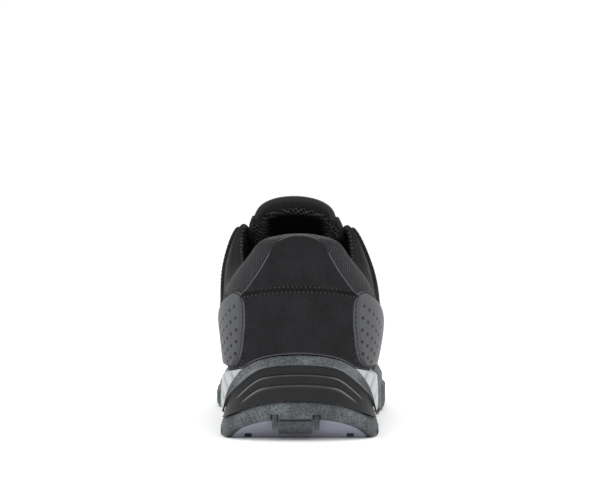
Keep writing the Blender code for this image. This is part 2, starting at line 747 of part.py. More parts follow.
# Eyestay: station, and its lower and upper edge as the rise t
Eyestay = namedtuple("Eyestay", "station low high")
EYESTAY = (
    Eyestay(5.0, 0.51, 0.64),
    Eyestay(5.5, 0.43, 0.64),
    Eyestay(6.0, 0.342, 0.67),
    Eyestay(6.5, 0.28, 0.71),
    Eyestay(7.0, 0.28, 0.78),
    Eyestay(7.5, 0.34, 0.89),
    Eyestay(8.0, 0.43, 0.965),
    Eyestay(8.5, 0.52, 0.97),
    Eyestay(9.0, 0.60, 0.97),
    Eyestay(9.6, 0.66, 0.97),
    Eyestay(10.2, 0.71, 0.97),
    Eyestay(10.7, 0.76, 0.96),
)


def build_eyestay(name, mirror):
    grid, outs = [], []
    for k in range(2 * len(EYESTAY) - 1):
        row, ahead = EYESTAY[k // 2], EYESTAY[(k + 1) // 2]
        station, low, high = ((a + b) / 2 for a, b in zip(row, ahead))
        u = LOOP - station if mirror else station
        shares = (0.0, 0.25, 0.48, 0.68, 0.85, 1.0)
        grid.append([(u, low + (high - low) * share) for share in shares])
        outs.append([NUBUCK] * len(shares))
    build_panel(name, grid, outs, "nubuck")


def build_toe_cap():
    """Cap over the toe. Its two sides meet on the ridge."""
    sections = []
    for k in range(17):
        across = -1 + k / 8
        outer, inner = [], []
        for t in (0.0, *UPPER_RISES[2:]):
            u = STATIONS + across * (CAP_STATIONS - 1.4 * t)
            t = max(t, rise_at(u, rim_height(u) + 0.0008))
            outer.append(skin_point(u, t, CAP_GAP + CAP_THICKNESS))
            inner.append(skin_point(u, t, CAP_GAP))
        sections.append((outer, [], inner))
    return sweep("toe_cap", sections, "nubuck", [True] * len(sections))


def throat_section(station, gap, crown):
    """Line across the throat from the medial to the lateral side, under the upper's edges
    by gap and arched up by crown between them."""
    skirt = 0.92 - 0.12 * smooth_step(station, THROAT_START, 9.5)
    rises = np.linspace(skirt, 1.0, 5)
    side = [inner_point(station, t, gap) for t in rises]
    other = [inner_point(LOOP - station, t, gap) for t in rises]
    line = np.array(other + side[::-1])
    reach = np.concatenate(([0.0], np.cumsum(np.linalg.norm(np.diff(line, axis=0), axis=1))))
    even = np.linspace(0.0, reach[-1], 15)
    points = np.stack([np.interp(even, reach, line[:, axis]) for axis in range(3)], axis=1)
    half = max(throat_half_width(station) - THROAT_WALL - gap, 0.001)
    for point in points:
        away = min(abs(point[0] - ridge_x(station)) / half, 1.0)
        point[2] += crown * (1 - away**2) ** 0.5
    return points


def build_tongue():
    """Padded tongue that runs up under the throat's edges and rises out above them."""
    sections = []
    for station in (11.9, 11.4, 10.9, 10.4, 9.8, 9.2, 8.6, 8.1):
        share = min(max((THROAT_END - station) / (THROAT_END - 8.1), 0.0), 1.0)
        sections.append(throat_section(station, TONGUE_GAP, TONGUE_CROWN * share**1.2))
    slope = sections[-1][7] - sections[-2][7]
    slope *= TONGUE_RISE / np.linalg.norm(slope)
    across = np.linspace(-1, 1, 15)[:, None]
    for rise, drop, narrow in ((0.5, 0.0, 0.03), (0.85, 0.1, 0.045), (1.0, 0.3, 0.05)):
        move = slope * 1.4 * rise + np.array((0.0, 0.0, TONGUE_RISE * 0.6 * rise))
        line = sections[7] + move * (1 - drop * across**6)
        line[:, 0] -= (line[:, 0] - ridge_x(THROAT_START)) * narrow
        sections.append(line)
    outer = np.array(sections)
    ahead = np.gradient(outer, axis=0)
    side = np.gradient(outer, axis=1)
    normal = np.cross(ahead, side)
    normal /= np.linalg.norm(normal, axis=2, keepdims=True)
    taper = np.interp(np.abs(np.linspace(-1, 1, 15)), (0, 0.75, 1), (1.0, 0.9, 0.45))
    ends = np.interp(range(len(sections)), (0, 2, 8, 10), (0.35, 1.0, 1.0, 0.6))
    inner = outer - normal * TONGUE_THICKNESS * taper[None, :, None] * ends[:, None, None]
    lines = [(list(out), [], list(into)) for out, into in zip(outer, inner)]
    sweep("tongue", lines, "mesh_textile")


EYELET_STATIONS = (8.55, 9.0, 9.45, 9.9, 10.35)
EYELET_RISE = 0.87


def build_eyelet(name, u):
    """Flat metal ring on the eyestay."""
    base = skin_point(u, EYELET_RISE, SKIN_GAP + NUBUCK + FIT_GAP)
    normal = upper_normal(u, EYELET_RISE)
    first = upper_point(u, EYELET_RISE + 0.02) - upper_point(u, EYELET_RISE - 0.02)
    first -= normal * np.dot(first, normal)
    first /= np.linalg.norm(first)
    second = np.cross(normal, first)
    verts, faces = [], []
    count = 12
    for k in range(count):
        angle = math.tau * k / count
        arm = first * math.cos(angle) + second * math.sin(angle)
        for radius, lift in ((EYELET_HOLE, 0), (EYELET_WIDTH, 0), (EYELET_WIDTH, 0.6), (EYELET_HOLE, 1)):
            verts.append(base + arm * radius / 2 + normal * EYELET_THICKNESS * (lift + 0.35))
    for k in range(count):
        n = (k + 1) % count
        faces += [(4 * k + j, 4 * n + j, 4 * n + (j + 1) % 4, 4 * k + (j + 1) % 4) for j in range(4)]
    add_object(name, verts, faces, "eyelet_metal")


def build_lace():
    """Crossings of the lace, joined into one solid over the throat."""
    lift = SKIN_GAP + NUBUCK + EYELET_THICKNESS * 2.2 + LACE_THICKNESS / 2
    strips = [(EYELET_STATIONS[-1], EYELET_STATIONS[-1], 0.0)]
    for near, far in zip(EYELET_STATIONS, EYELET_STATIONS[1:]):
        strips += [(near, far, 0.0), (far, near, 0.0004)]
    pieces = []
    for number, (start, end, higher) in enumerate(strips):
        low, high = (skin_point(u, EYELET_RISE, lift) for u in (LOOP - start, end))
        station = (start + end) / 2
        share = min(max((THROAT_END - station) / (THROAT_END - 8.1), 0.0), 1.0)
        line = []
        for k in range(7):
            across = -1 + k / 3
            point = low + (high - low) * (across + 1) / 2
            arch = TONGUE_CROWN * share**1.2 + LACE_ARCH + higher
            line.append(point + np.array((0.0, 0.0, arch * (1 - abs(across) ** 2.8))))
        line = np.array(line)
        run = np.gradient(line, axis=0)
        run /= np.linalg.norm(run, axis=1, keepdims=True)
        wide = np.array((0.0, 1.0, -0.4))
        wide = wide - run * (run @ wide)[:, None]
        wide *= LACE_WIDTH / 2 / np.linalg.norm(wide, axis=1, keepdims=True)
        thick = np.cross(run, wide)
        thick *= LACE_THICKNESS / 2 / np.linalg.norm(thick, axis=1, keepdims=True)
        ring = ((1, 1), (-1, 1), (-1, -1), (1, -1))
        verts = [p + w * a + t * b for p, w, t in zip(line, wide, thick) for a, b in ring]
        faces = [(0, 1, 2, 3), (24, 25, 26, 27)]
        for k in range(0, 24, 4):
            faces += [(k + j, k + 4 + j, k + 4 + (j + 1) % 4, k + (j + 1) % 4) for j in range(4)]
        name = f"lace_strip_{number}" if number else "lace"
        pieces.append(add_object(name, verts, faces, None if number else "lace_cord"))
    for other in pieces[1:]:
        boolean(pieces[0], "UNION", other)


def centre_on_floor():
    """Move everything so that the origin is under the middle of the shoe."""
    pieces = [piece for piece in bpy.data.objects if not piece.hide_render]
    points = np.array([vert.co for piece in pieces for vert in piece.data.vertices])
    low, high = points.min(axis=0), points.max(axis=0)
    middle = (low + high) / 2
    for piece in bpy.data.objects:
        piece.data.transform(Matrix.Translation((-middle[0], -middle[1], -low[2])))


def main():
    for old in list(bpy.data.objects):
        bpy.data.objects.remove(old)
    build_upper()
    build_outsole()
    build_midsole()
    build_insole()
    build_heel_cup()
    build_tongue()
    build_heel_counter()
    build_heel_tab()
    for name, mirror in (("lateral", False), ("medial", True)):
        build_side_panel(f"side_panel_{name}", mirror)
        build_eyestay(f"eyestay_{name}", mirror)
        for number, station in enumerate(EYELET_STATIONS, 1):
            build_eyelet(f"eyelet_{name}_{number}", LOOP - station if mirror else station)
    build_toe_cap()
    build_lace()
    centre_on_floor()


if __name__ == "__main__":
    main()
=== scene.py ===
"""Looks of a low-cut safety sneaker for the right foot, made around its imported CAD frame.

+Y runs from the heel to the toe, +X to the outer (lateral) side and +Z up, in metres. Places on
the shoe are named as in the CAD. The station u walks round the shoe: 0 is the back of the heel,
16 the tip of the toe, 0 to 16 the lateral side and 32 down to 16 the medial side. The rise t walks
up the upper from the feather line, where it meets the sole, at 0, to the top line, throat edge or
vamp ridge, at 1.
"""

import math
from collections import namedtuple

import bmesh
import bpy
import numpy as np
from bpy.props import FloatProperty, FloatVectorProperty, PointerProperty
from mathutils import Euler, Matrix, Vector


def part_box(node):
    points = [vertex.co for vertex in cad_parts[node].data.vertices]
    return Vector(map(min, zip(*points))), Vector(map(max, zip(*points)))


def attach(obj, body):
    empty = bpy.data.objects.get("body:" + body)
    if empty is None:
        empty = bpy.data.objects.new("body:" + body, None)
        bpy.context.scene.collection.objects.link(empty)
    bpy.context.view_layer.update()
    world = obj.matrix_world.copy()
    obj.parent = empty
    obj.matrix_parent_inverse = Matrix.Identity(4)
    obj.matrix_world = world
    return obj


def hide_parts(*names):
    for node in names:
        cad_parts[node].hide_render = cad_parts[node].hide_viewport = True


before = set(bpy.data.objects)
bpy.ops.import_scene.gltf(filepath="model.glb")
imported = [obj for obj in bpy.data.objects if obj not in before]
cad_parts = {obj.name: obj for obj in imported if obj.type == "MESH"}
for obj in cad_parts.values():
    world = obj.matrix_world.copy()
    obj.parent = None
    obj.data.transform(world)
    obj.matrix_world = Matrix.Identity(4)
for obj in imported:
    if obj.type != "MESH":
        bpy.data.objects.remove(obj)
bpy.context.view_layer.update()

bl_info = {
    "name": "Safety sneaker",
    "version": (1, 0, 0),
    "blender": (4, 5, 0),
    "location": "View3D > Sidebar > Sneaker",
    "description": "Builds the dressed pieces of a safety sneaker over its CAD frame",
    "category": "Object",
}

# Driving sizes of the last and the sole
SHOE_LENGTH = 0.302
BALL_WIDTH = 0.1055
WAIST_WIDTH = 0.0765
HEEL_WIDTH = 0.083
HEEL_STACK = 0.0378
BALL_STACK = 0.0228
TOE_STACK = 0.0345
TOE_SPRING = 0.012
SPRING_START = 0.70
FEATHER_INSET = 0.0058

# Driving sizes of the upper
BACK_HEIGHT = 0.0995
ANKLE_HEIGHT = 0.079
INSTEP_HEIGHT = 0.1125
VAMP_HEIGHT = 0.079
TOE_HEIGHT = 0.0675
COLLAR_WIDTH = 0.068
THROAT_TOP_WIDTH = 0.062
THROAT_LOW_WIDTH = 0.030
RIDGE_SHIFT = 0.0048
UPPER_WALL = 0.0026
COLLAR_PAD = 0.0085
THROAT_WALL = 0.0036

# Driving sizes of the sole's pieces
LUG_DEPTH = 0.004
PLATE_THICKNESS = 0.003
ARCH_RISE = 0.0075
WALL_INSET = 0.0028
RIM_RISE = 0.0048
RUBBER_WALL = 0.0016
SIDE_LUG_PROUD = 0.0014
BEVEL_HEIGHT = 0.0108
BEVEL_RUN = 0.0175
HEEL_FILL = 0.0085
GROOVE_WIDTH = 0.0045
CENTRE_GROOVE_WIDTH = 0.006
NOTCH_WIDTH = 0.004
NOTCH_SHIFT = -0.0018
NOTCH_SPACING = 0.0212
NOTCH_HEIGHT = 0.0134
NOTCH_DEPTH = 0.0034
INSOLE_THICKNESS = 0.0045

# Driving sizes of the overlays, tongue and laces
FIT_GAP = 0.0003
SKIN_GAP = 0.0004
NUBUCK = 0.0015
PANEL_RIM = 0.0012
PANEL_RAISED = 0.0023
CAP_THICKNESS = 0.0022
CAP_GAP = 0.0008
TONGUE_RISE = 0.0078
TONGUE_CROWN = 0.011
TONGUE_THICKNESS = 0.005
TONGUE_GAP = 0.002
EYELET_WIDTH = 0.0084
EYELET_HOLE = 0.0046
EYELET_THICKNESS = 0.001
LACE_WIDTH = 0.0062
LACE_THICKNESS = 0.002
LACE_ARCH = 0.005

SIDES = ("lateral", "medial")
STATIONS = 16
LOOP = 2 * STATIONS
THROAT_START = 8.0
THROAT_END = 11.0
CUP_END = 3.4
CAP_STATIONS = 3.4

# Ground outline. x is a share of half the width that the row follows, y a share of the length.
Outline = namedtuple("Outline", "y width lateral medial")
OUTLINE = (
    Outline(0.000, HEEL_WIDTH, 0.00, 0.00),
    Outline(0.007, HEEL_WIDTH, 0.44, 0.44),
    Outline(0.031, HEEL_WIDTH, 0.77, 0.77),
    Outline(0.076, HEEL_WIDTH, 0.96, 0.95),
    Outline(0.139, HEEL_WIDTH, 1.01, 0.99),
    Outline(0.225, HEEL_WIDTH, 1.00, 0.95),
    Outline(0.318, WAIST_WIDTH, 1.07, 0.97),
    Outline(0.411, WAIST_WIDTH, 1.15, 1.01),
    Outline(0.503, BALL_WIDTH, 0.92, 0.80),
    Outline(0.596, BALL_WIDTH, 0.99, 0.91),
    Outline(0.682, BALL_WIDTH, 1.02, 0.98),
    Outline(0.768, BALL_WIDTH, 0.99, 0.98),
    Outline(0.848, BALL_WIDTH, 0.89, 0.93),
    Outline(0.917, BALL_WIDTH, 0.70, 0.80),
    Outline(0.967, BALL_WIDTH, 0.44, 0.58),
    Outline(0.993, BALL_WIDTH, 0.15, 0.33),
    Outline(1.000, BALL_WIDTH, -0.09, 0.09),
)

# Feather line, where upper and sole meet: its inset as a share of FEATHER_INSET and its
# height as a share of a stack height. wrap is how far the outsole's rubber climbs the side,
# from its own plate (0) to the rim above the feather line (1).
Feather = namedtuple("Feather", "inset height stack wrap_lateral wrap_medial")
FEATHER = (
    Feather(1.00, 1.00, HEEL_STACK, 0.36, 0.36),
    Feather(1.00, 0.99, HEEL_STACK, 0.32, 0.32),
    Feather(0.90, 0.95, HEEL_STACK, 0.195, 0.195),
    Feather(0.80, 0.90, HEEL_STACK, 0.09, 0.09),
    Feather(0.76, 0.87, HEEL_STACK, 0.05, 0.05),
    Feather(0.72, 0.85, HEEL_STACK, 0.04, 0.04),
    Feather(0.62, 0.81, HEEL_STACK, 0.06, 0.06),
    Feather(0.60, 0.77, HEEL_STACK, 0.30, 0.15),
    Feather(0.75, 1.16, BALL_STACK, 0.76, 0.32),
    Feather(0.90, 1.04, BALL_STACK, 1.00, 0.46),
    Feather(1.00, 0.99, BALL_STACK, 1.00, 0.56),
    Feather(1.00, 1.02, BALL_STACK, 1.00, 0.64),
    Feather(1.00, 1.13, BALL_STACK, 1.00, 0.82),
    Feather(1.00, 0.83, TOE_STACK, 1.00, 1.00),
    Feather(1.00, 0.94, TOE_STACK, 1.00, 1.00),
    Feather(1.00, 0.99, TOE_STACK, 1.00, 1.00),
    Feather(1.00, 1.00, TOE_STACK, 1.00, 1.00),
)

# Top line of the collar, throat edge and vamp ridge. x is a share of half the row's width
# and counts only up to the throat's top, where the throat's own widths take over.
TopLine = namedtuple("TopLine", "y width lateral medial height_lateral height_medial height")
TOP_LINE = (
    TopLine(0.031, COLLAR_WIDTH, 0.00, 0.00, 1.000, 1.000, BACK_HEIGHT),
    TopLine(0.035, COLLAR_WIDTH, 0.34, 0.34, 0.995, 0.995, BACK_HEIGHT),
    TopLine(0.055, COLLAR_WIDTH, 0.63, 0.63, 0.982, 0.984, BACK_HEIGHT),
    TopLine(0.095, COLLAR_WIDTH, 0.80, 0.80, 0.910, 0.917, BACK_HEIGHT),
    TopLine(0.155, COLLAR_WIDTH, 0.93, 0.92, 1.045, 1.070, ANKLE_HEIGHT),
    TopLine(0.228, COLLAR_WIDTH, 1.00, 1.02, 1.000, 1.035, ANKLE_HEIGHT),
    TopLine(0.298, COLLAR_WIDTH, 1.03, 1.05, 1.085, 1.125, ANKLE_HEIGHT),
    TopLine(0.356, COLLAR_WIDTH, 1.02, 1.02, 0.900, 0.920, INSTEP_HEIGHT),
    TopLine(0.396, THROAT_TOP_WIDTH, 1.00, 1.00, 1.000, 1.005, INSTEP_HEIGHT),
    TopLine(0.490, THROAT_TOP_WIDTH, 0.80, 0.80, 0.905, 0.905, INSTEP_HEIGHT),
    TopLine(0.590, THROAT_TOP_WIDTH, 0.60, 0.60, 1.135, 1.135, VAMP_HEIGHT),
    TopLine(0.682, THROAT_TOP_WIDTH, 0.00, 0.00, 1.000, 1.000, VAMP_HEIGHT),
    TopLine(0.748, THROAT_TOP_WIDTH, 0.00, 0.00, 0.932, 0.932, VAMP_HEIGHT),
    TopLine(0.798, THROAT_TOP_WIDTH, 0.00, 0.00, 1.047, 1.047, TOE_HEIGHT),
    TopLine(0.832, THROAT_TOP_WIDTH, 0.00, 0.00, 1.023, 1.023, TOE_HEIGHT),
    TopLine(0.854, THROAT_TOP_WIDTH, 0.00, 0.00, 1.006, 1.006, TOE_HEIGHT),
    TopLine(0.862, THROAT_TOP_WIDTH, 0.00, 0.00, 1.000, 1.000, TOE_HEIGHT),
)

# Side profile from feather to top, a cubic with two handles. belly and rise lead away from
# the feather, outwards (share of FEATHER_INSET) and upwards (share of the height). lean, out
# and drop lead to the top, from further out along the profile's run, outwards and from below.
Profile = namedtuple("Profile", "belly belly_medial rise lean out drop")
PROFILE = (
    Profile(0.85, 0.85, 0.34, 0.00, -0.90, 0.28),
    Profile(0.90, 0.90, 0.34, 0.00, -0.55, 0.28),
    Profile(1.00, 0.85, 0.36, 0.00, 0.60, 0.26),
    Profile(0.95, 0.50, 0.38, 0.00, 1.95, 0.22),
    Profile(0.90, 0.30, 0.40, 0.00, 2.45, 0.20),
    Profile(0.95, 0.30, 0.40, 0.00, 2.45, 0.19),
    Profile(1.25, 0.65, 0.40, 0.00, 2.40, 0.17),
    Profile(1.50, 1.15, 0.38, 0.04, 2.10, 0.17),
    Profile(1.30, 1.20, 0.38, 0.14, 1.55, 0.15),
    Profile(0.90, 0.90, 0.40, 0.36, 0.80, 0.06),
    Profile(0.65, 0.65, 0.42, 0.50, 0.30, 0.01),
    Profile(0.50, 0.50, 0.46, 0.56, 0.00, 0.00),
    Profile(0.50, 0.50, 0.50, 0.57, 0.00, 0.00),
    Profile(0.50, 0.50, 0.54, 0.58, 0.00, 0.00),
    Profile(0.50, 0.50, 0.56, 0.58, 0.00, 0.00),
    Profile(0.50, 0.50, 0.57, 0.58, 0.00, 0.00),
    Profile(0.50, 0.50, 0.57, 0.58, 0.00, 0.00),
)


def around(lateral, medial=None):
    """One value a station for the whole loop, up the lateral side and back down the medial."""
    lateral = list(lateral)
    medial = lateral if medial is None else list(medial)
    return np.array(lateral + medial[-2:0:-1], float)


OUTLINE_X = around(
    (row.lateral * row.width / 2 for row in OUTLINE),
    (-row.medial * row.width / 2 for row in OUTLINE),
)
OUTLINE_Y = around(row.y * SHOE_LENGTH for row in OUTLINE)
FEATHER_Z = around(row.height * row.stack for row in FEATHER)
INSET = around(row.inset * FEATHER_INSET for row in FEATHER)
WRAP = around((row.wrap_lateral for row in FEATHER), (row.wrap_medial for row in FEATHER))
TOP_X = around(
    (row.lateral * row.width / 2 for row in TOP_LINE),
    (-row.medial * row.width / 2 for row in TOP_LINE),
)
TOP_Y = around(row.y * SHOE_LENGTH for row in TOP_LINE)
TOP_Z = around(
    (row.height_lateral * row.height for row in TOP_LINE),
    (row.height_medial * row.height for row in TOP_LINE),
)
BELLY = around((row.belly for row in PROFILE), (row.belly_medial for row in PROFILE))
RISE, LEAN, OUT, DROP = (
    around(getattr(row, name) for row in PROFILE) for name in ("rise", "lean", "out", "drop")
)


def smooth_step(value, low, high):
    share = np.clip((value - low) / (high - low), 0.0, 1.0)
    return share * share * (3 - 2 * share)


def bell(value, width):
    """A soft bump, 1 in the middle and nearly nil beyond twice the width."""
    return np.exp(-((value / width) ** 2))


def join(x, y, z):
    return np.stack(np.broadcast_arrays(x, y, z), axis=-1).astype(float)


def unit(vectors):
    return vectors / np.maximum(np.linalg.norm(vectors, axis=-1, keepdims=True), 1e-12)


def smooth_between(a, b, c, d, f):
    """Value at the share f of the way from b to c on a smooth curve through a, b, c and d."""
    return b + 0.5 * f * (c - a + f * (2 * a - 5 * b + 4 * c - d + f * (3 * (b - c) + d - a)))


def loop_value(values, u):
    """Smooth curve through the values of the stations, closed round the shoe."""
    u = np.asarray(u, float)
    whole = np.floor(u).astype(int)
    f = u - whole
    return smooth_between(*(values[(whole + k) % LOOP] for k in (-1, 0, 1, 2)), f)


def side_station(u):
    """Distance of a station from the back of the heel, 0 to 16 on either side."""
    u = np.asarray(u, float) % LOOP
    return np.minimum(u, LOOP - u)


def plan_normal(u):
    step = 0.04
    dx = loop_value(OUTLINE_X, u + step) - loop_value(OUTLINE_X, u - step)
    dy = loop_value(OUTLINE_Y, u + step) - loop_value(OUTLINE_Y, u - step)
    return unit(join(dy, -dx, 0.0))


def outline_point(u, inset, z=0.0):
    """Point at a height on the ground outline, moved inwards by inset."""
    u = np.asarray(u, float)
    inset = np.broadcast_to(inset, np.broadcast(u, inset, z).shape)[..., None]
    return join(loop_value(OUTLINE_X, u), loop_value(OUTLINE_Y, u), z) - plan_normal(u) * inset


def feather_point(u):
    return outline_point(u, loop_value(INSET, u), loop_value(FEATHER_Z, u))


def ridge_x(station):
    """x of the line down the middle of throat, vamp and toe, which leans to the big toe."""
    share = 0.45 * smooth_step(station, 5, THROAT_START)
    return -RIDGE_SHIFT * (share + 0.55 * smooth_step(station, THROAT_START, STATIONS))


def throat_half_width(station):
    """Half the throat's opening, round at its lower end and nil beyond it."""
    along = np.clip((station - THROAT_START) / (THROAT_END - THROAT_START), 0.0, 1.0)
    low, top = THROAT_LOW_WIDTH / 2, THROAT_TOP_WIDTH / 2
    return (low + (top - low) * (1 - along) ** 1.5) * np.sqrt(1 - along**7)


def top_point(u):
    station = side_station(u)
    side = np.where(np.asarray(u) % LOOP < STATIONS, 1.0, -1.0)
    throat = side * throat_half_width(station)
    x = np.where(station > THROAT_START, throat, loop_value(TOP_X, u))
    return join(ridge_x(station) + x, loop_value(TOP_Y, u), loop_value(TOP_Z, u))


def upper_point(u, t):
    """Point of the upper's outer face."""
    u, t = np.broadcast_arrays(np.asarray(u, float), np.asarray(t, float))
    low, top, normal = feather_point(u), top_point(u), plan_normal(u)
    up = join(0.0, 0.0, top[..., 2] - low[..., 2])
    run = (low - top) * (1, 1, 0)
    columns = (BELLY, RISE, LEAN, OUT, DROP)
    belly, rise, lean, out, drop = (loop_value(values, u)[..., None] for values in columns)
    first = low + normal * belly * FEATHER_INSET + up * rise
    second = top + run * lean + normal * out * FEATHER_INSET - up * drop
    t = t[..., None]
    s = 1 - t
    return s**3 * low + 3 * s * s * t * first + 3 * s * t * t * second + t**3 * top


def ridge_normal():
    behind, ahead = top_point(THROAT_END), top_point(STATIONS)
    return unit(join(0.0, behind[2] - ahead[2], ahead[1] - behind[1]))


def upper_normal(u, t):
    """Outward normal of the upper's outer face. On the ridge it has no sideways lean."""
    u, t = np.broadcast_arrays(np.asarray(u, float), np.asarray(t, float))
    step_u, step_t = 0.03, 0.015
    along = upper_point(u + step_u, t) - upper_point(u - step_u, t)
    up = upper_point(u, np.minimum(t + step_t, 1.0)) - upper_point(u, np.maximum(t - step_t, 0.0))
    normal = unit(np.cross(along, up))
    ridge = smooth_step(t, 0.93, 1.0) * (side_station(u) >= THROAT_END)
    return unit(normal + (ridge_normal() - normal) * ridge[..., None])


def rise_at(u, z):
    """The rise t at which the upper's outer face has the height z."""
    u, z = np.broadcast_arrays(np.asarray(u, float), np.asarray(z, float))
    low, high = np.zeros(u.shape), np.ones(u.shape)
    for _ in range(20):
        middle = (low + high) / 2
        below = upper_point(u, middle)[..., 2] < z
        low, high = np.where(below, middle, low), np.where(below, high, middle)
    return (low + high) / 2


def sole_bottom(y):
    """Height of the tread: flat at heel and ball, raised in the arch and sprung at the toe."""
    share = y / SHOE_LENGTH
    arch = smooth_step(share, 0.265, 0.325) * (1 - smooth_step(share, 0.37, 0.455))
    spring = np.maximum(0.0, (share - SPRING_START) / (1 - SPRING_START))
    return ARCH_RISE * arch + TOE_SPRING * spring * spring


def tread_height(y):
    """Height of the tread with the bevel at the back of the heel."""
    return np.maximum(sole_bottom(y), BEVEL_HEIGHT * (1 - y / BEVEL_RUN))


def plate_height(u):
    """Top of the outsole's plate."""
    return sole_bottom(loop_value(OUTLINE_Y, u)) + LUG_DEPTH + PLATE_THICKNESS


def floor_height(u):
    """Top of the plate with its fill at the heel, on which the midsole lies."""
    y = loop_value(OUTLINE_Y, u)
    return plate_height(u) + HEEL_FILL * (1 - smooth_step(y / SHOE_LENGTH, 0.005, 0.045))


def body_point(u, z, out):
    """Point off the midsole's wall or, above the feather line, off the upper."""
    u, z, out = np.broadcast_arrays(np.asarray(u, float), np.asarray(z, float), np.asarray(out, float))
    feather, floor = loop_value(FEATHER_Z, u), floor_height(u)
    share = np.clip((z - floor) / (feather - floor), 0.0, 1.0)
    inset = WALL_INSET + (loop_value(INSET, u) - WALL_INSET) * share
    wall = outline_point(u, inset - out, z)
    above = upper_point(u, rise_at(u, z)) + plan_normal(u) * out[..., None]
    return np.where((z > feather)[..., None], above, wall)


def rim_height(u):
    return loop_value(FEATHER_Z, u) + RIM_RISE


def wrap_top(u):
    """Top of the outsole's rubber on the side of the sole."""
    plate = plate_height(u)
    return plate + loop_value(WRAP, u) * (rim_height(u) - plate)


def cup_top(u):
    """Top of the heel cup, an arch seen from behind."""
    share = np.maximum(0.0, 1 - (side_station(u) / CUP_END) ** 5)
    return wrap_top(u) + (rim_height(0) - wrap_top(0)) * share


def upper_wall(u, t):
    """Thickness of the upper: thin at the vamp, firm at the throat and padded at the collar."""
    station = side_station(u)
    throat = smooth_step(station, 5.6, 7.8)
    padded = (COLLAR_PAD - UPPER_WALL) * smooth_step(t, 0.45, 0.92) * (1 - throat)
    fade = 1 - smooth_step(station, THROAT_END - 1, THROAT_END)
    firm = (THROAT_WALL - UPPER_WALL) * smooth_step(t, 0.6, 0.95) * throat * fade
    return UPPER_WALL + padded + firm


def inner_point(u, t, gap=0.0):
    """Point of the upper's inner face, or inside it by gap."""
    point = upper_point(u, t) - upper_normal(u, t) * (upper_wall(u, t) + gap)[..., None]
    point[..., 2] = np.maximum(point[..., 2], loop_value(FEATHER_Z, u))
    return point


# Seam between the quarters and the padded collar: its rise at stations round the shoe
COLLAR_SEAM = (
    (0.0, 0.60),
    (1.7, 0.60),
    (2.6, 0.64),
    (3.3, 0.64),
    (4.1, 0.69),
    (5.0, 0.755),
    (5.6, 0.80),
    (6.0, 0.845),
    (6.5, 0.905),
    (7.0, 0.95),
    (8.0, 0.965),
    (8.6, 0.975),
    (16.0, 0.975),
)

# Stations at which the knit collar gives way to the strip, the strip to the quarters' mesh, and
# the lining's fuzzy edge ends
STRIP_START = 4.7
STRIP_END = 8.4
FUZZ_END = 2.7


def seam_rise(u):
    return np.interp(side_station(u), *zip(*COLLAR_SEAM))


# Creases where the forefoot flexes and where the collar folds: place along the shoe as a share of
# its length, depth and width in metres, how far the sides run back, and the reach across
Crease = namedtuple("Crease", "y depth width bend reach side")
CREASES = (
    Crease(0.700, 0.0011, 0.0050, 3.2, 0.034, 0),
    Crease(0.733, 0.0008, 0.0042, 3.6, 0.030, 0),
    Crease(0.668, 0.0007, 0.0045, 2.6, 0.026, 1),
    Crease(0.668, 0.0006, 0.0045, 2.6, 0.026, -1),
)


def relief(u, t, points):
    """How far creases, seams and padding move the upper's outer face outwards."""
    station = side_station(u)
    x, y = points[..., 0] - ridge_x(station), points[..., 1]
    moved = np.zeros(station.shape)
    for crease in CREASES:
        centre = crease.y * SHOE_LENGTH - crease.bend * x * x / 0.1
        across = 1 - smooth_step(np.abs(x - crease.side * 0.024), crease.reach * 0.5, crease.reach)
        moved -= crease.depth * bell(y - centre, crease.width) * across
        moved += 0.4 * crease.depth * bell(y - centre - 2 * crease.width, crease.width) * across
    seam = seam_rise(u)
    length = loop_value(TOP_Z, u) - loop_value(FEATHER_Z, u)
    fade = smooth_step(station, 3.0, 4.0) * (1 - smooth_step(station, 8.0, 8.8))
    moved -= 0.0011 * bell((t - seam) * length, 0.0009) * fade
    puff = np.clip((t - seam) / np.maximum(1 - seam, 0.01), 0.0, 1.0)
    puffed = smooth_step(station, 2.0, 2.8) * (1 - smooth_step(station, 6.5, 8.0))
    moved += 0.0009 * np.sin(math.pi * puff) * puffed
    return moved


def skin(u, t, out):
    """Point off the dressed upper's outer face, outwards by out."""
    u, t, out = np.broadcast_arrays(np.asarray(u, float), np.asarray(t, float), np.asarray(out, float))
    base = upper_point(u, t)
    return base + upper_normal(u, t) * (out + relief(u, t, base))[..., None]


def insole_ring(u):
    """Widest ring of the insole."""
    inset = loop_value(INSET, u) + UPPER_WALL * 1.45
    return outline_point(u, inset, loop_value(FEATHER_Z, u) + 0.35 * INSOLE_THICKNESS)


def frame_shift():
    """Move from the last's own axes, with the heel's back at y 0, to the frame's."""
    low = np.array(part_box("insole")[0])
    ring = insole_ring(np.arange(0, LOOP, 0.5))
    return join(low[0] - ring[:, 0].min(), low[1] - ring[:, 1].min(), 0.0)


SHIFT = frame_shift()


# A grid of points with the distance along and across it in metres, how deep in painted shade each point
# is (below 0, how bright a painted highlight), and the number of its material
Patch = namedtuple("Patch", "points uv shade material")


def grid_reach(points):
    """Distances of a grid's points from its first row and from its first column."""
    along = np.cumsum(np.linalg.norm(np.diff(points, axis=0, prepend=points[:1]), axis=2), axis=0)
    across = np.cumsum(np.linalg.norm(np.diff(points, axis=1, prepend=points[:, :1]), axis=2), axis=1)
    return along, across


def patch(points, material=0, shade=None, anchor=0):
    """Patch whose distances along start at the row anchor and whose distances across start at
    the first column."""
    along, across = grid_reach(points)
    uv = np.stack([along - along[anchor], across], axis=2)
    shade = np.broadcast_to(0.0 if shade is None else shade, points.shape[:2])
    return Patch(points, uv, shade, material)


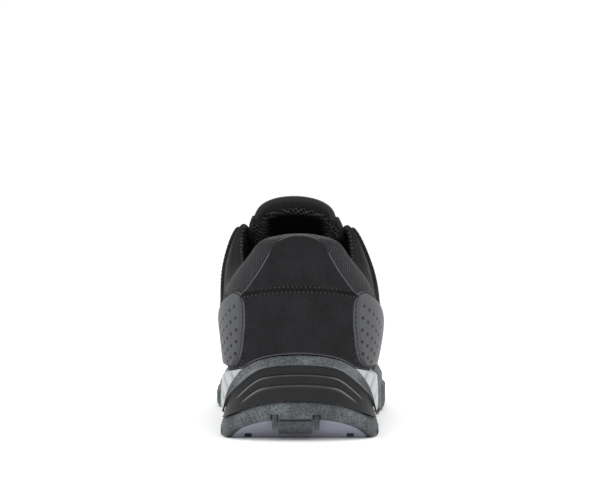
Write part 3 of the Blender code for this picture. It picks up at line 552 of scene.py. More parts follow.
def add_piece(name, patches, materials, replaced=(), weld=2e-6, sharp=40):
    """One closed mesh piece from patches whose edges meet. It rides on the shoe and stands for
    the replaced CAD nodes."""
    verts, faces, uvs, shades, numbers = [], [], [], [], []
    count = 0
    for part in patches:
        n, m = part.points.shape[:2]
        index = count + np.arange(n * m).reshape(n, m)
        quads = (index[:-1, :-1], index[1:, :-1], index[1:, 1:], index[:-1, 1:])
        faces.append(np.stack(quads, axis=-1).reshape(-1, 4))
        verts.append(part.points.reshape(-1, 3))
        uvs.append(part.uv.reshape(-1, 2))
        shades.append(np.ravel(part.shade))
        numbers.append(np.broadcast_to(part.material, (n - 1, m - 1)).reshape(-1))
        count += n * m
    verts, faces, uvs = np.concatenate(verts) + SHIFT, np.concatenate(faces), np.concatenate(uvs)
    mesh = bpy.data.meshes.new(name)
    mesh.from_pydata(verts.tolist(), [], faces.tolist())
    layer = mesh.uv_layers.new(name="metres")
    layer.data.foreach_set("uv", uvs[faces.ravel()].ravel().astype(np.float32))
    mesh.attributes.new("shade", "FLOAT", "POINT").data.foreach_set("value", np.concatenate(shades))
    mesh.polygons.foreach_set("material_index", np.concatenate(numbers).astype(np.int32))
    return finish_piece(name, mesh, materials, replaced, weld, sharp)


def finish_piece(name, mesh, materials, replaced=(), weld=2e-6, sharp=40):
    """Welds a mesh, turns its faces outwards and hands it to the frame."""
    work = bmesh.new()
    work.from_mesh(mesh)
    bmesh.ops.remove_doubles(work, verts=work.verts, dist=weld)
    bmesh.ops.delete(work, geom=[v for v in work.verts if not v.link_faces], context="VERTS")
    bmesh.ops.recalc_face_normals(work, faces=work.faces)
    work.to_mesh(mesh)
    work.free()
    mesh.shade_smooth()
    mesh.set_sharp_from_angle(angle=math.radians(sharp))
    for material in materials:
        mesh.materials.append(material)
    piece = bpy.data.objects.new(name, mesh)
    bpy.context.scene.collection.objects.link(piece)
    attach(piece, "root")
    if replaced:
        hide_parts(*replaced)
    return piece


def fine_ends(count, reach=0.02):
    """Shares from 0 to 1, close together near both ends so that rounded edges show."""
    ends = reach * np.array((0.0, 0.1, 0.25, 0.45, 0.7))
    return np.concatenate([ends, np.linspace(reach, 1 - reach, count), 1 - ends[::-1]])


def border_distances(points):
    """Distances of each point of a grid from its four borders, measured along the grid."""
    along, across = grid_reach(points)
    return along, along[-1:] - along, across, across[:, -1:] - across


def border_distance(points, soft=0.0):
    """Distance from the nearest border. Soft rounds the corners of lines at a given distance."""
    distances = np.stack(border_distances(points))
    if not soft:
        return distances.min(axis=0)
    return -soft * np.log(np.exp(-distances / soft).sum(axis=0))


# Height of the overlays' hidden edges, just under the upper's face
SUNK = -0.0004


def rounded_edge(distance, thickness, radius=0.0009):
    """Height of an overlay's face, rounded down to its sunken edge."""
    rise = np.clip(distance / radius, 0.0, 1.0)
    return SUNK + (thickness - SUNK) * np.sqrt(1 - (1 - rise) ** 2)


def overlay(u, t, out, shade=None, surface=skin):
    """Outer and inner patches of a closed overlay on the upper, at places u, t."""
    return [
        patch(surface(u, t, out), 0, shade),
        patch(surface(u, t, np.full(out.shape, SUNK))),
    ]


def tube_rings(line, normals, radii):
    """Six-sided rings of a thread along a short line, for joining into stitches."""
    run = unit(np.gradient(line, axis=0))
    side = unit(np.cross(normals, run))
    up = np.cross(run, side)
    angles = math.tau * np.arange(6) / 6
    ring = side[:, None] * np.cos(angles)[None, :, None] + up[:, None] * np.sin(angles)[None, :, None]
    return line[:, None] + ring * radii[:, None, None]


def stitches(line, normals, sizes, shown):
    """Verts and faces of the stitches of one seam, laid end to end along its line. shown is how
    much of each stitch's length shows, the rest being pulled into the leather."""
    length = sizes.stitch_length * shown
    gap, radius = sizes.stitch_gap + 0.4 * (sizes.stitch_length - length), sizes.thread_width / 2
    reach = np.concatenate(([0.0], np.cumsum(np.linalg.norm(np.diff(line, axis=0), axis=1))))
    count = max(int(reach[-1] / (length + gap)), 1)
    pitch = reach[-1] / count
    shares = np.array((0.0, 0.12, 0.5, 0.88, 1.0))
    lifts = np.array((-0.9, 0.1, 0.45, 0.1, -0.9)) * radius
    widths = np.array((0.45, 0.95, 1.0, 0.95, 0.45)) * radius
    verts, faces = [], []
    for number in range(count):
        places = (number + 0.5) * pitch + (shares - 0.5) * (pitch - gap)
        points = np.stack([np.interp(places, reach, line[:, k]) for k in range(3)], axis=1)
        normal = unit(np.stack([np.interp(places, reach, normals[:, k]) for k in range(3)], axis=1))
        rings = tube_rings(points + normal * lifts[:, None], normal, widths)
        start = len(verts) * 30
        verts.append(rings.reshape(-1, 3))
        for k in range(4):
            a = start + 6 * k
            faces += [(a + j, a + (j + 1) % 6, a + 6 + (j + 1) % 6, a + 6 + j) for j in range(6)]
        faces += [tuple(start + j for j in range(6)), tuple(start + 24 + j for j in range(6))]
    return np.concatenate(verts), faces


def add_stitches(name, seams, material, shown=1.0):
    """One joined mesh of all the stitches of a group of seams."""
    sizes = bpy.context.scene.sneaker_sizes
    verts, faces, count = [], [], 0
    for line, normals in seams:
        more_verts, more_faces = stitches(line, normals, sizes, shown)
        faces += [tuple(count + k for k in face) for face in more_faces]
        verts.append(more_verts)
        count += len(more_verts)
    mesh = bpy.data.meshes.new(name)
    mesh.from_pydata((np.concatenate(verts) + SHIFT).tolist(), [], faces)
    return finish_piece(name, mesh, [material], weld=1e-7, sharp=80)


def seam_on(u, t, out):
    """Line and normals of a seam over places u, t at a height off the upper."""
    return skin(u, t, out), upper_normal(u, t)


def shell_stations():
    """Stations of one side, closest together where the throat closes."""
    collar = np.linspace(0, THROAT_START, 97)
    throat = THROAT_END - (THROAT_END - THROAT_START) * np.linspace(1, 0, 61)[1:] ** 2
    vamp = np.linspace(THROAT_END, STATIONS, 51)[1:]
    return np.concatenate([collar, throat, vamp])


def rim_frame(u):
    """Middle of the rolled top line, with its arm to the outer edge and its lift to the crest."""
    outer, inner = skin(u, 1.0, 0.0), inner_point(u, np.ones(np.shape(u)))
    station = side_station(u)
    swell = (0.42 - 0.22 * smooth_step(station, 7.5, 9)) * (station < THROAT_END)
    height = np.linalg.norm(outer - inner, axis=-1) * swell
    lift = unit(outer - upper_point(u, 0.97)) * height[..., None]
    return (outer + inner) / 2, (outer - inner) / 2, lift


def rim_lines(u):
    """Rows of points over the rolled top line, from the outer to the inner edge."""
    middle, arm, lift = (part[:, None] for part in rim_frame(u))
    angles = np.radians(np.linspace(0, 180, 15))[:, None]
    return middle + arm * np.cos(angles) + lift * np.sin(angles)


def collar_skin(u, t, out):
    """As skin, but beyond the rise 1 the place runs on over the rolled top line, 2 being its
    inner edge."""
    u, t, out = np.broadcast_arrays(np.asarray(u, float), np.asarray(t, float), np.asarray(out, float))
    middle, arm, lift = rim_frame(u)
    turn = math.pi * np.clip(t - 1, 0.0, 1.0)[..., None]
    along_arm, along_lift = arm * np.cos(turn), lift * np.sin(turn)
    square = [(part**2).sum(axis=-1, keepdims=True) for part in (arm, lift)]
    normal = unit(along_arm / square[0] + along_lift / square[1])
    over = middle + along_arm + along_lift + normal * out[..., None]
    return np.where((t > 1)[..., None], over, skin(u, np.minimum(t, 1.0), out))


def build_upper():
    """Mesh quarters and vamp, the padded knit collar and the lining, as one hollow shell."""
    stations = shell_stations()
    patches = []
    anchor = int(np.searchsorted(stations, THROAT_START))
    for u in (stations, LOOP - stations):
        seam = seam_rise(u)[:, None]
        low = seam * np.linspace(0, 1, 33)
        high = seam + (1 - seam) * np.linspace(0, 1, 15)
        station = side_station(u)[:-1]
        collar = np.where(station < STRIP_START, 1, np.where(station < STRIP_END, 2, 0))
        columns = u[:, None]
        around_seam = side_station(columns)
        sewn = smooth_step(around_seam, 3.0, 4.0) * (1 - smooth_step(around_seam, 8.0, 8.8))
        # Painted shade in the seam's groove between the quarters and the collar
        below, above = smooth_step(np.linspace(0, 1, 33), 0.955, 1.0), np.linspace(1, 0, 15) ** 12
        patches.append(patch(skin(columns, low, 0.0), 0, sewn * below, anchor))
        outer = skin(columns, high, 0.0)
        patches.append(patch(outer, collar[:, None], sewn * above, anchor))
        rises = np.linspace(0, 1, 25)[None, :]
        inner = inner_point(columns, rises)
        # Painted shade on the lining, full deep in the shoe and fading towards the top line; at the wings it
        # fades lower down, where more light gets in
        lit = smooth_step(around_seam, 4.4, 5.4)
        depth_shade = 1 - 0.9 * smooth_step(rises, 0.5 - 0.3 * lit, 0.97 - 0.35 * lit)
        patches.append(patch(inner, 3, depth_shade, anchor))
        patches.append(patch(np.stack([inner[:, 0], skin(u, 0.0, 0.0)], axis=1), 3))
        opening = np.searchsorted(stations, THROAT_END) + 1
        rim = rim_lines(u)[:opening]
        rim[:, 0], rim[:, -1] = outer[:opening, -1], inner[:opening, -1]
        rim[-1] = outer[opening - 1, -1] + np.linspace(0, 1, 15)[:, None] * (
            inner[opening - 1, -1] - outer[opening - 1, -1]
        )
        station = side_station(u)[: opening - 1]
        zone = np.where(station < STRIP_START, 1, np.where(station < STRIP_END, 2, 0))[:, None]
        column = np.arange(14)[None, :]
        zone = np.where(column < np.where(station < STRIP_START, 9, 5)[:, None], zone, 3)
        zone = np.where((column > 2) & (column < 10) & (station < FUZZ_END)[:, None], 4, zone)
        patches.append(patch(rim, zone, None, anchor))
    finishes = [quarter_mesh(), collar_knit(), collar_strip(), lining_mesh(), lining_edge()]
    add_piece("upper_shell", patches, finishes, ["upper"], sharp=50)


def build_insole():
    """Removable footbed: a foam pad under a brushed textile, dished towards the middle."""
    side = np.linspace(0, STATIONS, 97)
    rows = ((0.0, 0.60), (0.18, 0.48), (0.35, 0.45), (0.62, 0.50), (0.86, 0.62), (1.0, 0.90))
    patches = []
    for u in (side, LOOP - side):
        inset = [loop_value(INSET, u) + UPPER_WALL * (1 + row[1]) for row in rows]
        ring = [
            outline_point(u, depth, loop_value(FEATHER_Z, u) + row[0] * INSOLE_THICKNESS)
            for depth, row in zip(inset, rows)
        ]
        patches.append(patch(np.stack(ring, axis=1)))
    for row, dish in ((rows[0], 0.0), (rows[-1], 0.0011)):
        depth = UPPER_WALL * (1 + row[1])
        ends = []
        for u in (side, LOOP - side):
            height = loop_value(FEATHER_Z, u) + row[0] * INSOLE_THICKNESS
            ends.append(outline_point(u, loop_value(INSET, u) + depth, height))
        share = np.linspace(0, 1, 25)[None, :, None]
        sheet = ends[0][:, None] * (1 - share) + ends[1][:, None] * share
        sheet[..., 2] -= dish * np.sin(math.pi * share[..., 0]) ** 0.7
        patches.append(patch(sheet))
    piece = add_piece("insole_pad", patches, [footbed_textile()], ["insole"])


def throat_section(station, gap, crown, count):
    """Line across the throat from the medial to the lateral side, under the upper's edges by gap
    and arched up by crown between them."""
    skirt = 0.92 - 0.12 * smooth_step(station, THROAT_START, 9.5)
    rises = np.linspace(skirt, 1.0, 9)
    side = inner_point(np.full(9, station), rises, gap)
    other = inner_point(np.full(9, LOOP - station), rises, gap)
    line = np.concatenate([other, side[::-1]])
    reach = np.concatenate(([0.0], np.cumsum(np.linalg.norm(np.diff(line, axis=0), axis=1))))
    even = np.linspace(0.0, reach[-1], count)
    points = np.stack([np.interp(even, reach, line[:, axis]) for axis in range(3)], axis=1)
    half = np.maximum(throat_half_width(station) - THROAT_WALL - gap, 0.001)
    away = np.minimum(np.abs(points[:, 0] - ridge_x(station)) / half, 1.0)
    points[:, 2] += crown * np.sqrt(1 - away**2)
    return points


TONGUE_BACK = 8.1
TONGUE_FRONT = 11.9


def tongue_face(count):
    """Outer face of the tongue, from its end under the vamp to its top edge."""
    sections = []
    for station in np.linspace(TONGUE_FRONT, TONGUE_BACK, 61):
        share = np.clip((THROAT_END - station) / (THROAT_END - TONGUE_BACK), 0.0, 1.0)
        sections.append(throat_section(station, TONGUE_GAP, TONGUE_CROWN * share**1.2, count))
    slope = unit(sections[-1][count // 2] - sections[-10][count // 2]) * TONGUE_RISE
    across = np.linspace(-1, 1, count)[:, None]
    last = sections[-1]
    for rise in np.linspace(0, 1, 15)[1:]:
        drop = 0.3 * smooth_step(rise, 0.4, 1.1)
        narrow = 0.05 * rise**0.7
        move = slope * 1.4 * rise + np.array((0.0, 0.0, TONGUE_RISE * 0.6 * rise))
        line = last + move * (1 - drop * across**6)
        line[:, 0] -= (line[:, 0] - ridge_x(THROAT_START)) * narrow
        sections.append(line)
    return np.array(sections)


def build_tongue():
    """Padded tongue: a smooth face and rolled top edge, and spacer mesh on its inner side."""
    count = 61
    outer = tongue_face(count)
    normal = unit(np.cross(np.gradient(outer, axis=0), np.gradient(outer, axis=1)))
    across = np.abs(np.linspace(-1, 1, count))
    taper = np.interp(across, (0, 0.75, 0.95, 1), (1.0, 0.9, 0.6, 0.15))
    along = np.linalg.norm(np.diff(outer[:, count // 2], axis=0, prepend=outer[:1, count // 2]), axis=1)
    along = np.cumsum(along)
    top = (along[-1] - along) / (TONGUE_THICKNESS / 2)
    ends = np.sqrt(1 - (1 - np.clip(top, 0.0, 1.0)) ** 2) * np.interp(along, (0, 0.012), (0.3, 1.0))
    thick = TONGUE_THICKNESS * taper[None, :] * ends[:, None]
    binding = np.interp(along[-1] - along, (0.0, 0.0055, 0.0075, 0.009), (0.0, 0.0, 1.0, 0.0))
    groove = 0.0008 * np.maximum(binding[:, None] * (across < 0.9), bell(across - 0.86, 0.025)[None, :])
    dip = normal * (thick * 0.5)[..., None]
    middle = outer - normal * (TONGUE_THICKNESS * 0.5 * taper)[None, :, None]
    face, back = middle + dip, middle - dip + normal * groove[..., None]
    rows = (along[-1] - along < 0.0065)[:-1, None]
    sides = ((across[1:] + across[:-1]) / 2 > 0.87)[None, :]
    # Painted shade on the lining deep inside the tongue, none towards its sides and top edge
    deep = smooth_step(along[-1] - along, 0.0085, 0.0125)[:, None]
    deep = deep * (1 - smooth_step(across, 0.50, 0.74))[None, :]
    patches = [patch(face, 0), patch(back, np.where(rows | sides, 0, 1), deep)]
    patches += [patch(np.stack([face[k], back[k]], axis=1), 0) for k in (0, -1)]
    patches += [patch(np.stack([face[:, k], back[:, k]], axis=1), 0) for k in (0, -1)]
    piece = add_piece("tongue_pad", patches, [tongue_binding(), spacer_mesh()], ["tongue"])


# Back edge of the side panels: height as a share of BACK_HEIGHT and station
PANEL_BACK = (
    (0.36, 2.30),
    (0.39, 2.03),
    (0.42, 1.90),
    (0.46, 1.82),
    (0.55, 1.79),
    (0.62, 1.86),
    (0.68, 1.97),
    (0.72, 2.10),
    (0.75, 2.28),
    (0.78, 2.55),
)
PANEL_WIDEST = 1.79
PANEL_LAST = 6.1

# Flange of the side panels: its width, the softness of its corners, how much faster its width is
# counted at foot and top, and where across it the stitches lie
PANEL_FLANGE = 0.0026
PANEL_CORNER = 0.0005
FLANGE_FOOT = 2.2
FLANGE_TOP = 1.6
SEAM_SHARE = 0.68

# Top of the heel counter as a share of BACK_HEIGHT, its gap to the panels in stations, and the
# distance of the seam's furrows from the joint
COUNTER_TOP = 0.757
COUNTER_GAP = 0.055
SEAM_STEP = 0.0014


def panel_back(height):
    """Station of the side panels' back edge at a height."""
    return np.interp(height / BACK_HEIGHT, *zip(*PANEL_BACK))


def seam_height(u):
    """Height of the seam between counter and tab, which sags towards its ends."""
    return COUNTER_TOP * BACK_HEIGHT - SEAM_SAG * (side_station(u) / SEAM_HALF) ** 2


def counter_places(across, up):
    side = 2 * across[:, None] - 1
    foot, high = cup_top(PANEL_WIDEST), COUNTER_TOP * BACK_HEIGHT
    u = side * (panel_back(foot + (high - foot) * up[None, :]) - COUNTER_GAP)
    low_t, high_t = rise_at(u, cup_top(u) + 0.0006), rise_at(u, seam_height(u))
    return u, low_t + (high_t - low_t) * up[None, :]


def seamed_face(u, side, joint):
    """Height of a nubuck panel at the distances side and joint from its edges, with the furrow
    along the joint, and the furrow's shade, deepest in the needle holes."""
    dip = bell(joint - SEAM_STEP, 0.00055) * smooth_step(side, 0.0005, 0.0015)
    out = rounded_edge(np.minimum(side, joint * 1.6), SKIN_GAP + NUBUCK) - 0.0004 * dip
    return out, dip * (0.45 + 0.55 * np.cos(u * HOLE_TURNS) ** 2)


def build_heel_counter():
    """Nubuck panel at the back of the heel, butted against the tab over it."""
    u, t = counter_places(np.linspace(0, 1, 181), fine_ends(61, 0.012))
    distances = border_distances(skin(u, t, 0.0))
    side = np.minimum(np.minimum(distances[0], distances[1]), distances[2])
    out, shade = seamed_face(u, side, distances[3])
    # Painted highlight: a thin paler line along the counter's bottom edge
    shade -= 0.45 * bell(distances[2] - 0.0006, 0.0003)
    add_piece("heel_counter_panel", overlay(u, t, out, shade), [nubuck()], ["heel_counter"])


# Bell outline of the heel tab: height as a share of BACK_HEIGHT and half width in stations
TAB = (
    (0.757, 2.24),
    (0.763, 2.15),
    (0.775, 2.03),
    (0.79, 1.91),
    (0.825, 1.74),
    (0.86, 1.61),
    (0.905, 1.45),
    (0.945, 1.28),
    (0.975, 1.08),
    (0.985, 0.99),
)
TAB_UPS = (0.0, 0.03, 0.08, 0.16, 0.32, 0.47, 0.66, 0.83, 0.95, 1.0)

# How far the tab runs over the top line, the seam's half length in stations and its sag at the
# ends, the turns of its needle holes, and the radius and lift of the tab's piping
TAB_OVER = 0.30
SEAM_HALF = 2.08
SEAM_SAG = 0.0024
HOLE_TURNS = 28.0
PIPING = 0.0004
PIPING_LIFT = 0.0011


def tab_places(across, up):
    heights, halves = (np.interp(up, TAB_UPS, column)[None, :] for column in zip(*TAB))
    side = 2 * across[:, None] - 1
    u = side * halves
    over = TAB_OVER * (1 - side**2) ** 0.9 * smooth_step(up, 0.66, 1.0)[None, :]
    sag = COUNTER_TOP * BACK_HEIGHT - seam_height(u)
    return u, rise_at(u, heights * BACK_HEIGHT - sag * (1 - smooth_step(up, 0.0, 0.3))[None, :]) + over


def build_heel_tab():
    """Nubuck tab from the counter up over the top line, with its piping and the double row of
    stitches that joins it to the counter."""
    u, t = tab_places(fine_ends(161, 0.012), fine_ends(81, 0.012))
    flat = collar_skin(u, t, 0.0)
    distances = border_distances(flat)
    side = np.minimum(np.minimum(distances[0], distances[1]), distances[3])
    out, shade = seamed_face(u, side, distances[2])
    out -= 0.0004 * bell(distances[3] - 0.0085, 0.0028) * smooth_step(side, 0.001, 0.004)
    patches = overlay(u, t, out, shade, collar_skin)
    add_piece("heel_tab_panel", patches, [nubuck()], ["heel_tab"])
    normals = unit(collar_skin(u, t, 0.001) - flat)
    border = [(0, k) for k in range(t.shape[1])] + [(k, -1) for k in range(1, t.shape[0])]
    border += [(-1, k) for k in range(t.shape[1] - 2, -1, -1)]
    rows, columns = zip(*border)
    line, facing = flat[rows, columns] + normals[rows, columns] * PIPING_LIFT, normals[rows, columns]
    rings = tube_rings(line, facing, np.full(len(line), PIPING))
    piping = [patch(np.concatenate([rings, rings[:, :1]], axis=1))]
    for k in (0, -1):
        piping.append(patch(np.stack([piping[0].points[k], np.broadcast_to(line[k], (7, 3))], axis=1)))
    add_piece("heel_tab_piping", piping, [sewing_thread("cord")], ())
    seams = []
    across = np.linspace(-1.0, 1.0, 121)
    for step in (-SEAM_STEP, SEAM_STEP):
        places = across * SEAM_HALF
        rise = rise_at(places, seam_height(places) + step)
        seams.append(seam_on(places, rise, SKIN_GAP + NUBUCK - 0.0004))
    add_stitches("heel_seam_stitches", seams, sewing_thread("thread"), 0.45)


def panel_places(across, up, mirror):
    """Places of a side panel from its back edge (0) to its front (1) and from foot to top."""
    lowest, highest = PANEL_BACK[0][0] * BACK_HEIGHT, PANEL_BACK[-1][0] * BACK_HEIGHT
    first = panel_back(lowest + (highest - lowest) * up[None, :])
    station = first + (PANEL_LAST - first) * across[:, None]
    place = (station - PANEL_WIDEST) / (PANEL_LAST - PANEL_WIDEST)
    foot = loop_value(FEATHER_Z, station) + 0.0012 * (1 + 3 * place)
    low = np.where(station < 3, np.maximum(foot, cup_top(station) + 0.0006), foot)
    high = BACK_HEIGHT * (0.80 - 0.28 * place)
    u = LOOP - station if mirror else station
    low_t, high_t = rise_at(u, low), rise_at(u, high)
    return u, low_t + (high_t - low_t) * up[None, :]


# Rows of dimples on a side panel: distance of the first from the back edge, its height, how many
DimpleRow = namedtuple("DimpleRow", "start z count")
DIMPLE_ROWS = (
    DimpleRow(0.0083, 0.0667, 6),
    DimpleRow(0.0060, 0.0609, 6),
    DimpleRow(0.0046, 0.0550, 5),
    DimpleRow(0.0043, 0.0493, 4),
    DimpleRow(0.0050, 0.0434, 3),
    DimpleRow(0.0056, 0.0372, 2),
)
DIMPLE_STEP = 0.0033
DIMPLE_DROP = 0.0021

# Curved slashes towards the panel's front: distance of the foot from the back edge, lean, bow
SLASHES = ((0.0400, 0.010, 0.0035), (0.0475, 0.011, 0.0035), (0.0550, 0.012, 0.0030))


def flange_distance(points):
    """Distance from a panel's border, counted faster at its top and foot, where the flange is
    narrower."""
    back, front, foot, top = border_distances(points)
    distances = np.stack([back, front, FLANGE_FOOT * foot, FLANGE_TOP * top])
    return -PANEL_CORNER * np.log(np.exp(-distances / PANEL_CORNER).sum(axis=0))


def panel_relief(points, distance, lead, sizes):
    """Height of a side panel's face and its painted shade and painted highlights."""
    along, height = border_distances(points)[0] + lead, points[..., 2]
    out = rounded_edge(distance, SKIN_GAP + PANEL_RIM, 0.0008)
    inner = flange_distance(points)
    raised = smooth_step(inner, PANEL_FLANGE, PANEL_FLANGE + 0.0009)
    out += (PANEL_RAISED - PANEL_RIM) * raised
    out += 0.0004 * smooth_step(inner, PANEL_FLANGE, 0.012)
    trough = bell(inner - PANEL_FLANGE * SEAM_SHARE, 0.0005)
    out -= 0.0006 * trough
    # Painted shade in the stitch trough; painted highlights along the outer rim and the pad's shoulder
    shade = 0.35 * trough - 0.30 * bell(distance - 0.0005, 0.0004)
    shade -= 0.35 * bell(inner - PANEL_FLANGE - 0.0009, 0.0004)
    for row in DIMPLE_ROWS:
        for number in range(row.count):
            x = along - row.start - number * DIMPLE_STEP
            z = height - row.z + number * DIMPLE_DROP
            inside = 1 - np.hypot(x, z * 0.85) / (sizes.dimple_width / 2)
            pit = smooth_step(inside, -0.25, 0.35)
            out -= sizes.dimple_depth * pit
            # Painted shade in each dimple and a small painted highlight beside it
            shade = np.maximum(shade, pit)
            shade -= 0.5 * bell(np.hypot(x + 0.0006, z - 0.0009), 0.00035)
    for start, lean, bow in SLASHES:
        low, high = height.min() + 0.004, height.max() - 0.004
        share = (height - low) / (high - low)
        centre = start + lean * share + bow * np.sin(math.pi * np.clip(share, 0, 1))
        inside = smooth_step(inner, PANEL_FLANGE + 0.0018, PANEL_FLANGE + 0.0035)
        cut = bell(along - centre, 0.0009) * inside
        out -= 0.0010 * cut
        # Painted shade in the slashes
        shade = np.maximum(shade, 0.6 * cut)
    return out, shade


def build_side_panel(side):
    """Moulded panel at the side of the heel: a stitched flange round a raised, dimpled pad."""
    sizes = bpy.context.scene.sneaker_sizes
    mirror = side == "medial"
    u, t = panel_places(fine_ends(190, 0.010), fine_ends(96, 0.022), mirror)
    points = skin(u, t, 0.0)
    widest = skin(LOOP - PANEL_WIDEST if mirror else PANEL_WIDEST, t[0], 0.0)
    lead = np.linalg.norm(points[0] - widest, axis=1)[None, :]
    out, shade = panel_relief(points, border_distance(points), lead, sizes)
    name = f"side_panel_{side}"
    add_piece(f"{name}_moulded", overlay(u, t, out, shade), [moulded_panel()], [name])
    return panel_seam(u, t)


def panel_seam(u, t):
    """Closed line of a side panel's stitches, in the middle of its flange."""
    points = skin(u, t, SKIN_GAP + PANEL_RIM - 0.00045)
    normals = upper_normal(u, t)
    n, m = u.shape
    reach = border_distances(points)
    inset = PANEL_FLANGE * SEAM_SHARE
    i0, i1 = (int(np.argmin(np.abs(reach[k][:, m // 2] - inset))) for k in (0, 1))
    low = [int(np.argmin(np.abs(FLANGE_FOOT * reach[2][i] - inset))) for i in range(n)]
    high = [int(np.argmin(np.abs(FLANGE_TOP * reach[3][i] - inset))) for i in range(n)]
    loop = [(i0, j) for j in range(low[i0], high[i0])]
    loop += [(i, high[i]) for i in range(i0, i1)]
    loop += [(i1, j) for j in range(high[i1], low[i1], -1)]
    loop += [(i, low[i]) for i in range(i1, i0, -1)]
    rows, columns = zip(*loop)
    return points[rows, columns], normals[rows, columns]


EYELET_STATIONS = (8.55, 9.0, 9.45, 9.9, 10.35)
EYELET_RISE = 0.87

# Eyestay: station, and its lower and upper edge as the rise t
Eyestay = namedtuple("Eyestay", "station low high")
EYESTAY = (
    Eyestay(5.0, 0.51, 0.64),
    Eyestay(5.5, 0.43, 0.64),
    Eyestay(6.0, 0.342, 0.67),
    Eyestay(6.5, 0.28, 0.71),
    Eyestay(7.0, 0.28, 0.78),
    Eyestay(7.5, 0.34, 0.89),
    Eyestay(8.0, 0.43, 0.965),
    Eyestay(8.5, 0.52, 0.97),
    Eyestay(9.0, 0.60, 0.97),
    Eyestay(9.6, 0.66, 0.97),
    Eyestay(10.2, 0.71, 0.97),
    Eyestay(10.7, 0.76, 0.96),
)


# Seams of an eyestay: distance from a border, and that border, 2 being its foot and 3 its top
EYESTAY_SEAMS = ((0.0022, 2), (0.0042, 2), (0.0022, 3))

# How far the stitches are pulled into the leather
THREAD_SUNK = 0.0003


def eyestay_places(across, up, mirror):
    rows = np.array(EYESTAY)
    place = across * (len(rows) - 1)
    padded_rows = np.concatenate([2 * rows[:1] - rows[1:2], rows, 2 * rows[-1:] - rows[-2:-1]])
    whole = np.minimum(np.floor(place).astype(int), len(rows) - 2)
    f = (place - whole)[:, None]
    smooth = smooth_between(*(padded_rows[whole + k] for k in range(4)), f)
    station, low, high = (column[:, None] for column in smooth.T)
    t = low + (high - low) * up[None, :]
    u = LOOP - station if mirror else station
    return np.broadcast_to(u, t.shape), t


def build_eyestay(side):
    """Nubuck quarter that carries the eyelets, with its stitched edge."""
    mirror = side == "medial"
    u, t = eyestay_places(fine_ends(141, 0.008), fine_ends(51, 0.025), mirror)
    points = skin(u, t, 0.0)
    distance = border_distance(points)
    out = rounded_edge(distance, SKIN_GAP + NUBUCK)
    rim = border_distance(points, 0.001)
    out -= 0.0004 * bell(rim - EYESTAY_SEAMS[0][0], 0.0007)
    for station in EYELET_STATIONS:
        place = upper_point(LOOP - station if mirror else station, EYELET_RISE)
        away = np.linalg.norm(points - place, axis=2)
        out -= 0.0012 * (1 - smooth_step(away, EYELET_HOLE * 0.40, EYELET_HOLE * 0.62))
    name = f"eyestay_{side}"
    add_piece(f"{name}_nubuck", overlay(u, t, out), [nubuck()], [name])
    spans = border_distances(points)
    keep = np.arange(10, len(points) - 10)
    seams = []
    for inset, border in EYESTAY_SEAMS:
        pick = np.argmin(np.abs(spans[border] - inset), axis=1)[keep]
        seams.append(seam_on(u[keep, pick], t[keep, pick], SKIN_GAP + NUBUCK - THREAD_SUNK))
    return seams


# Distances of the toe cap's two seams from its back edge
CAP_SEAMS = (0.0024, 0.0046)


def cap_places(across, up):
    """Places of the toe cap from its lateral back edge to its medial one."""
    t = up[None, :]
    side = 2 * across[:, None] - 1
    u = STATIONS + side * (CAP_STATIONS - 1.4 * t)
    foot = rise_at(u, rim_height(u) + 0.0008)
    return u, np.maximum(foot, 0) * (1 - t) + t


def build_toe_cap():
    """Cap over the toe with a double row of stitches along its back edge."""
    up = np.concatenate([0.03 * np.linspace(0, 1, 6)[:-1], np.linspace(0.03, 1, 60)])
    u, t = cap_places(fine_ends(161, 0.01), up)
    points = skin(u, t, 0.0)
    spans = border_distances(points)
    back = np.minimum(spans[0], spans[1])
    out = rounded_edge(np.minimum(back, spans[2]), CAP_GAP + CAP_THICKNESS, 0.0012)
    out -= 0.0004 * sum(bell(back - inset, 0.0006) for inset in CAP_SEAMS)
    out = np.where(up[None, :] >= 1.0, np.minimum(out, out[::-1]), out)
    inner = np.full(out.shape, SUNK)
    patches = [patch(skin(u, t, out)), patch(skin(u, t, inner))]
    add_piece("toe_cap_nubuck", patches, [toe_leather()], ["toe_cap"], weld=4e-6)
    seams = []
    keep = np.arange(6, len(up))
    for inset in CAP_SEAMS:
        for gap in (spans[0], spans[1]):
            pick = np.argmin(np.abs(gap - inset), axis=0)[keep]
            seams.append(seam_on(u[pick, keep], t[pick, keep], CAP_GAP + CAP_THICKNESS - THREAD_SUNK))
    return seams


def build_overlay_stitches():
    """All the stitches of the side panels, eyestays and toe cap."""
    thread = sewing_thread("dark_thread")
    add_stitches("side_panel_stitches", [build_side_panel(side) for side in SIDES], thread)
    seams = [seam for side in SIDES for seam in build_eyestay(side)]
    add_stitches("eyestay_stitches", seams, thread)
    add_stitches("toe_cap_stitches", build_toe_cap(), thread)


def eyelet_frame(u):
    """Middle of an eyelet on the eyestay's face, with its normal and two arms across it."""
    base = skin(u, EYELET_RISE, SKIN_GAP + NUBUCK)
    normal = upper_normal(u, EYELET_RISE)
    first = upper_point(u, EYELET_RISE + 0.02) - upper_point(u, EYELET_RISE - 0.02)
    first = unit(first - normal * np.dot(first, normal))
    return base, normal, first, np.cross(normal, first)


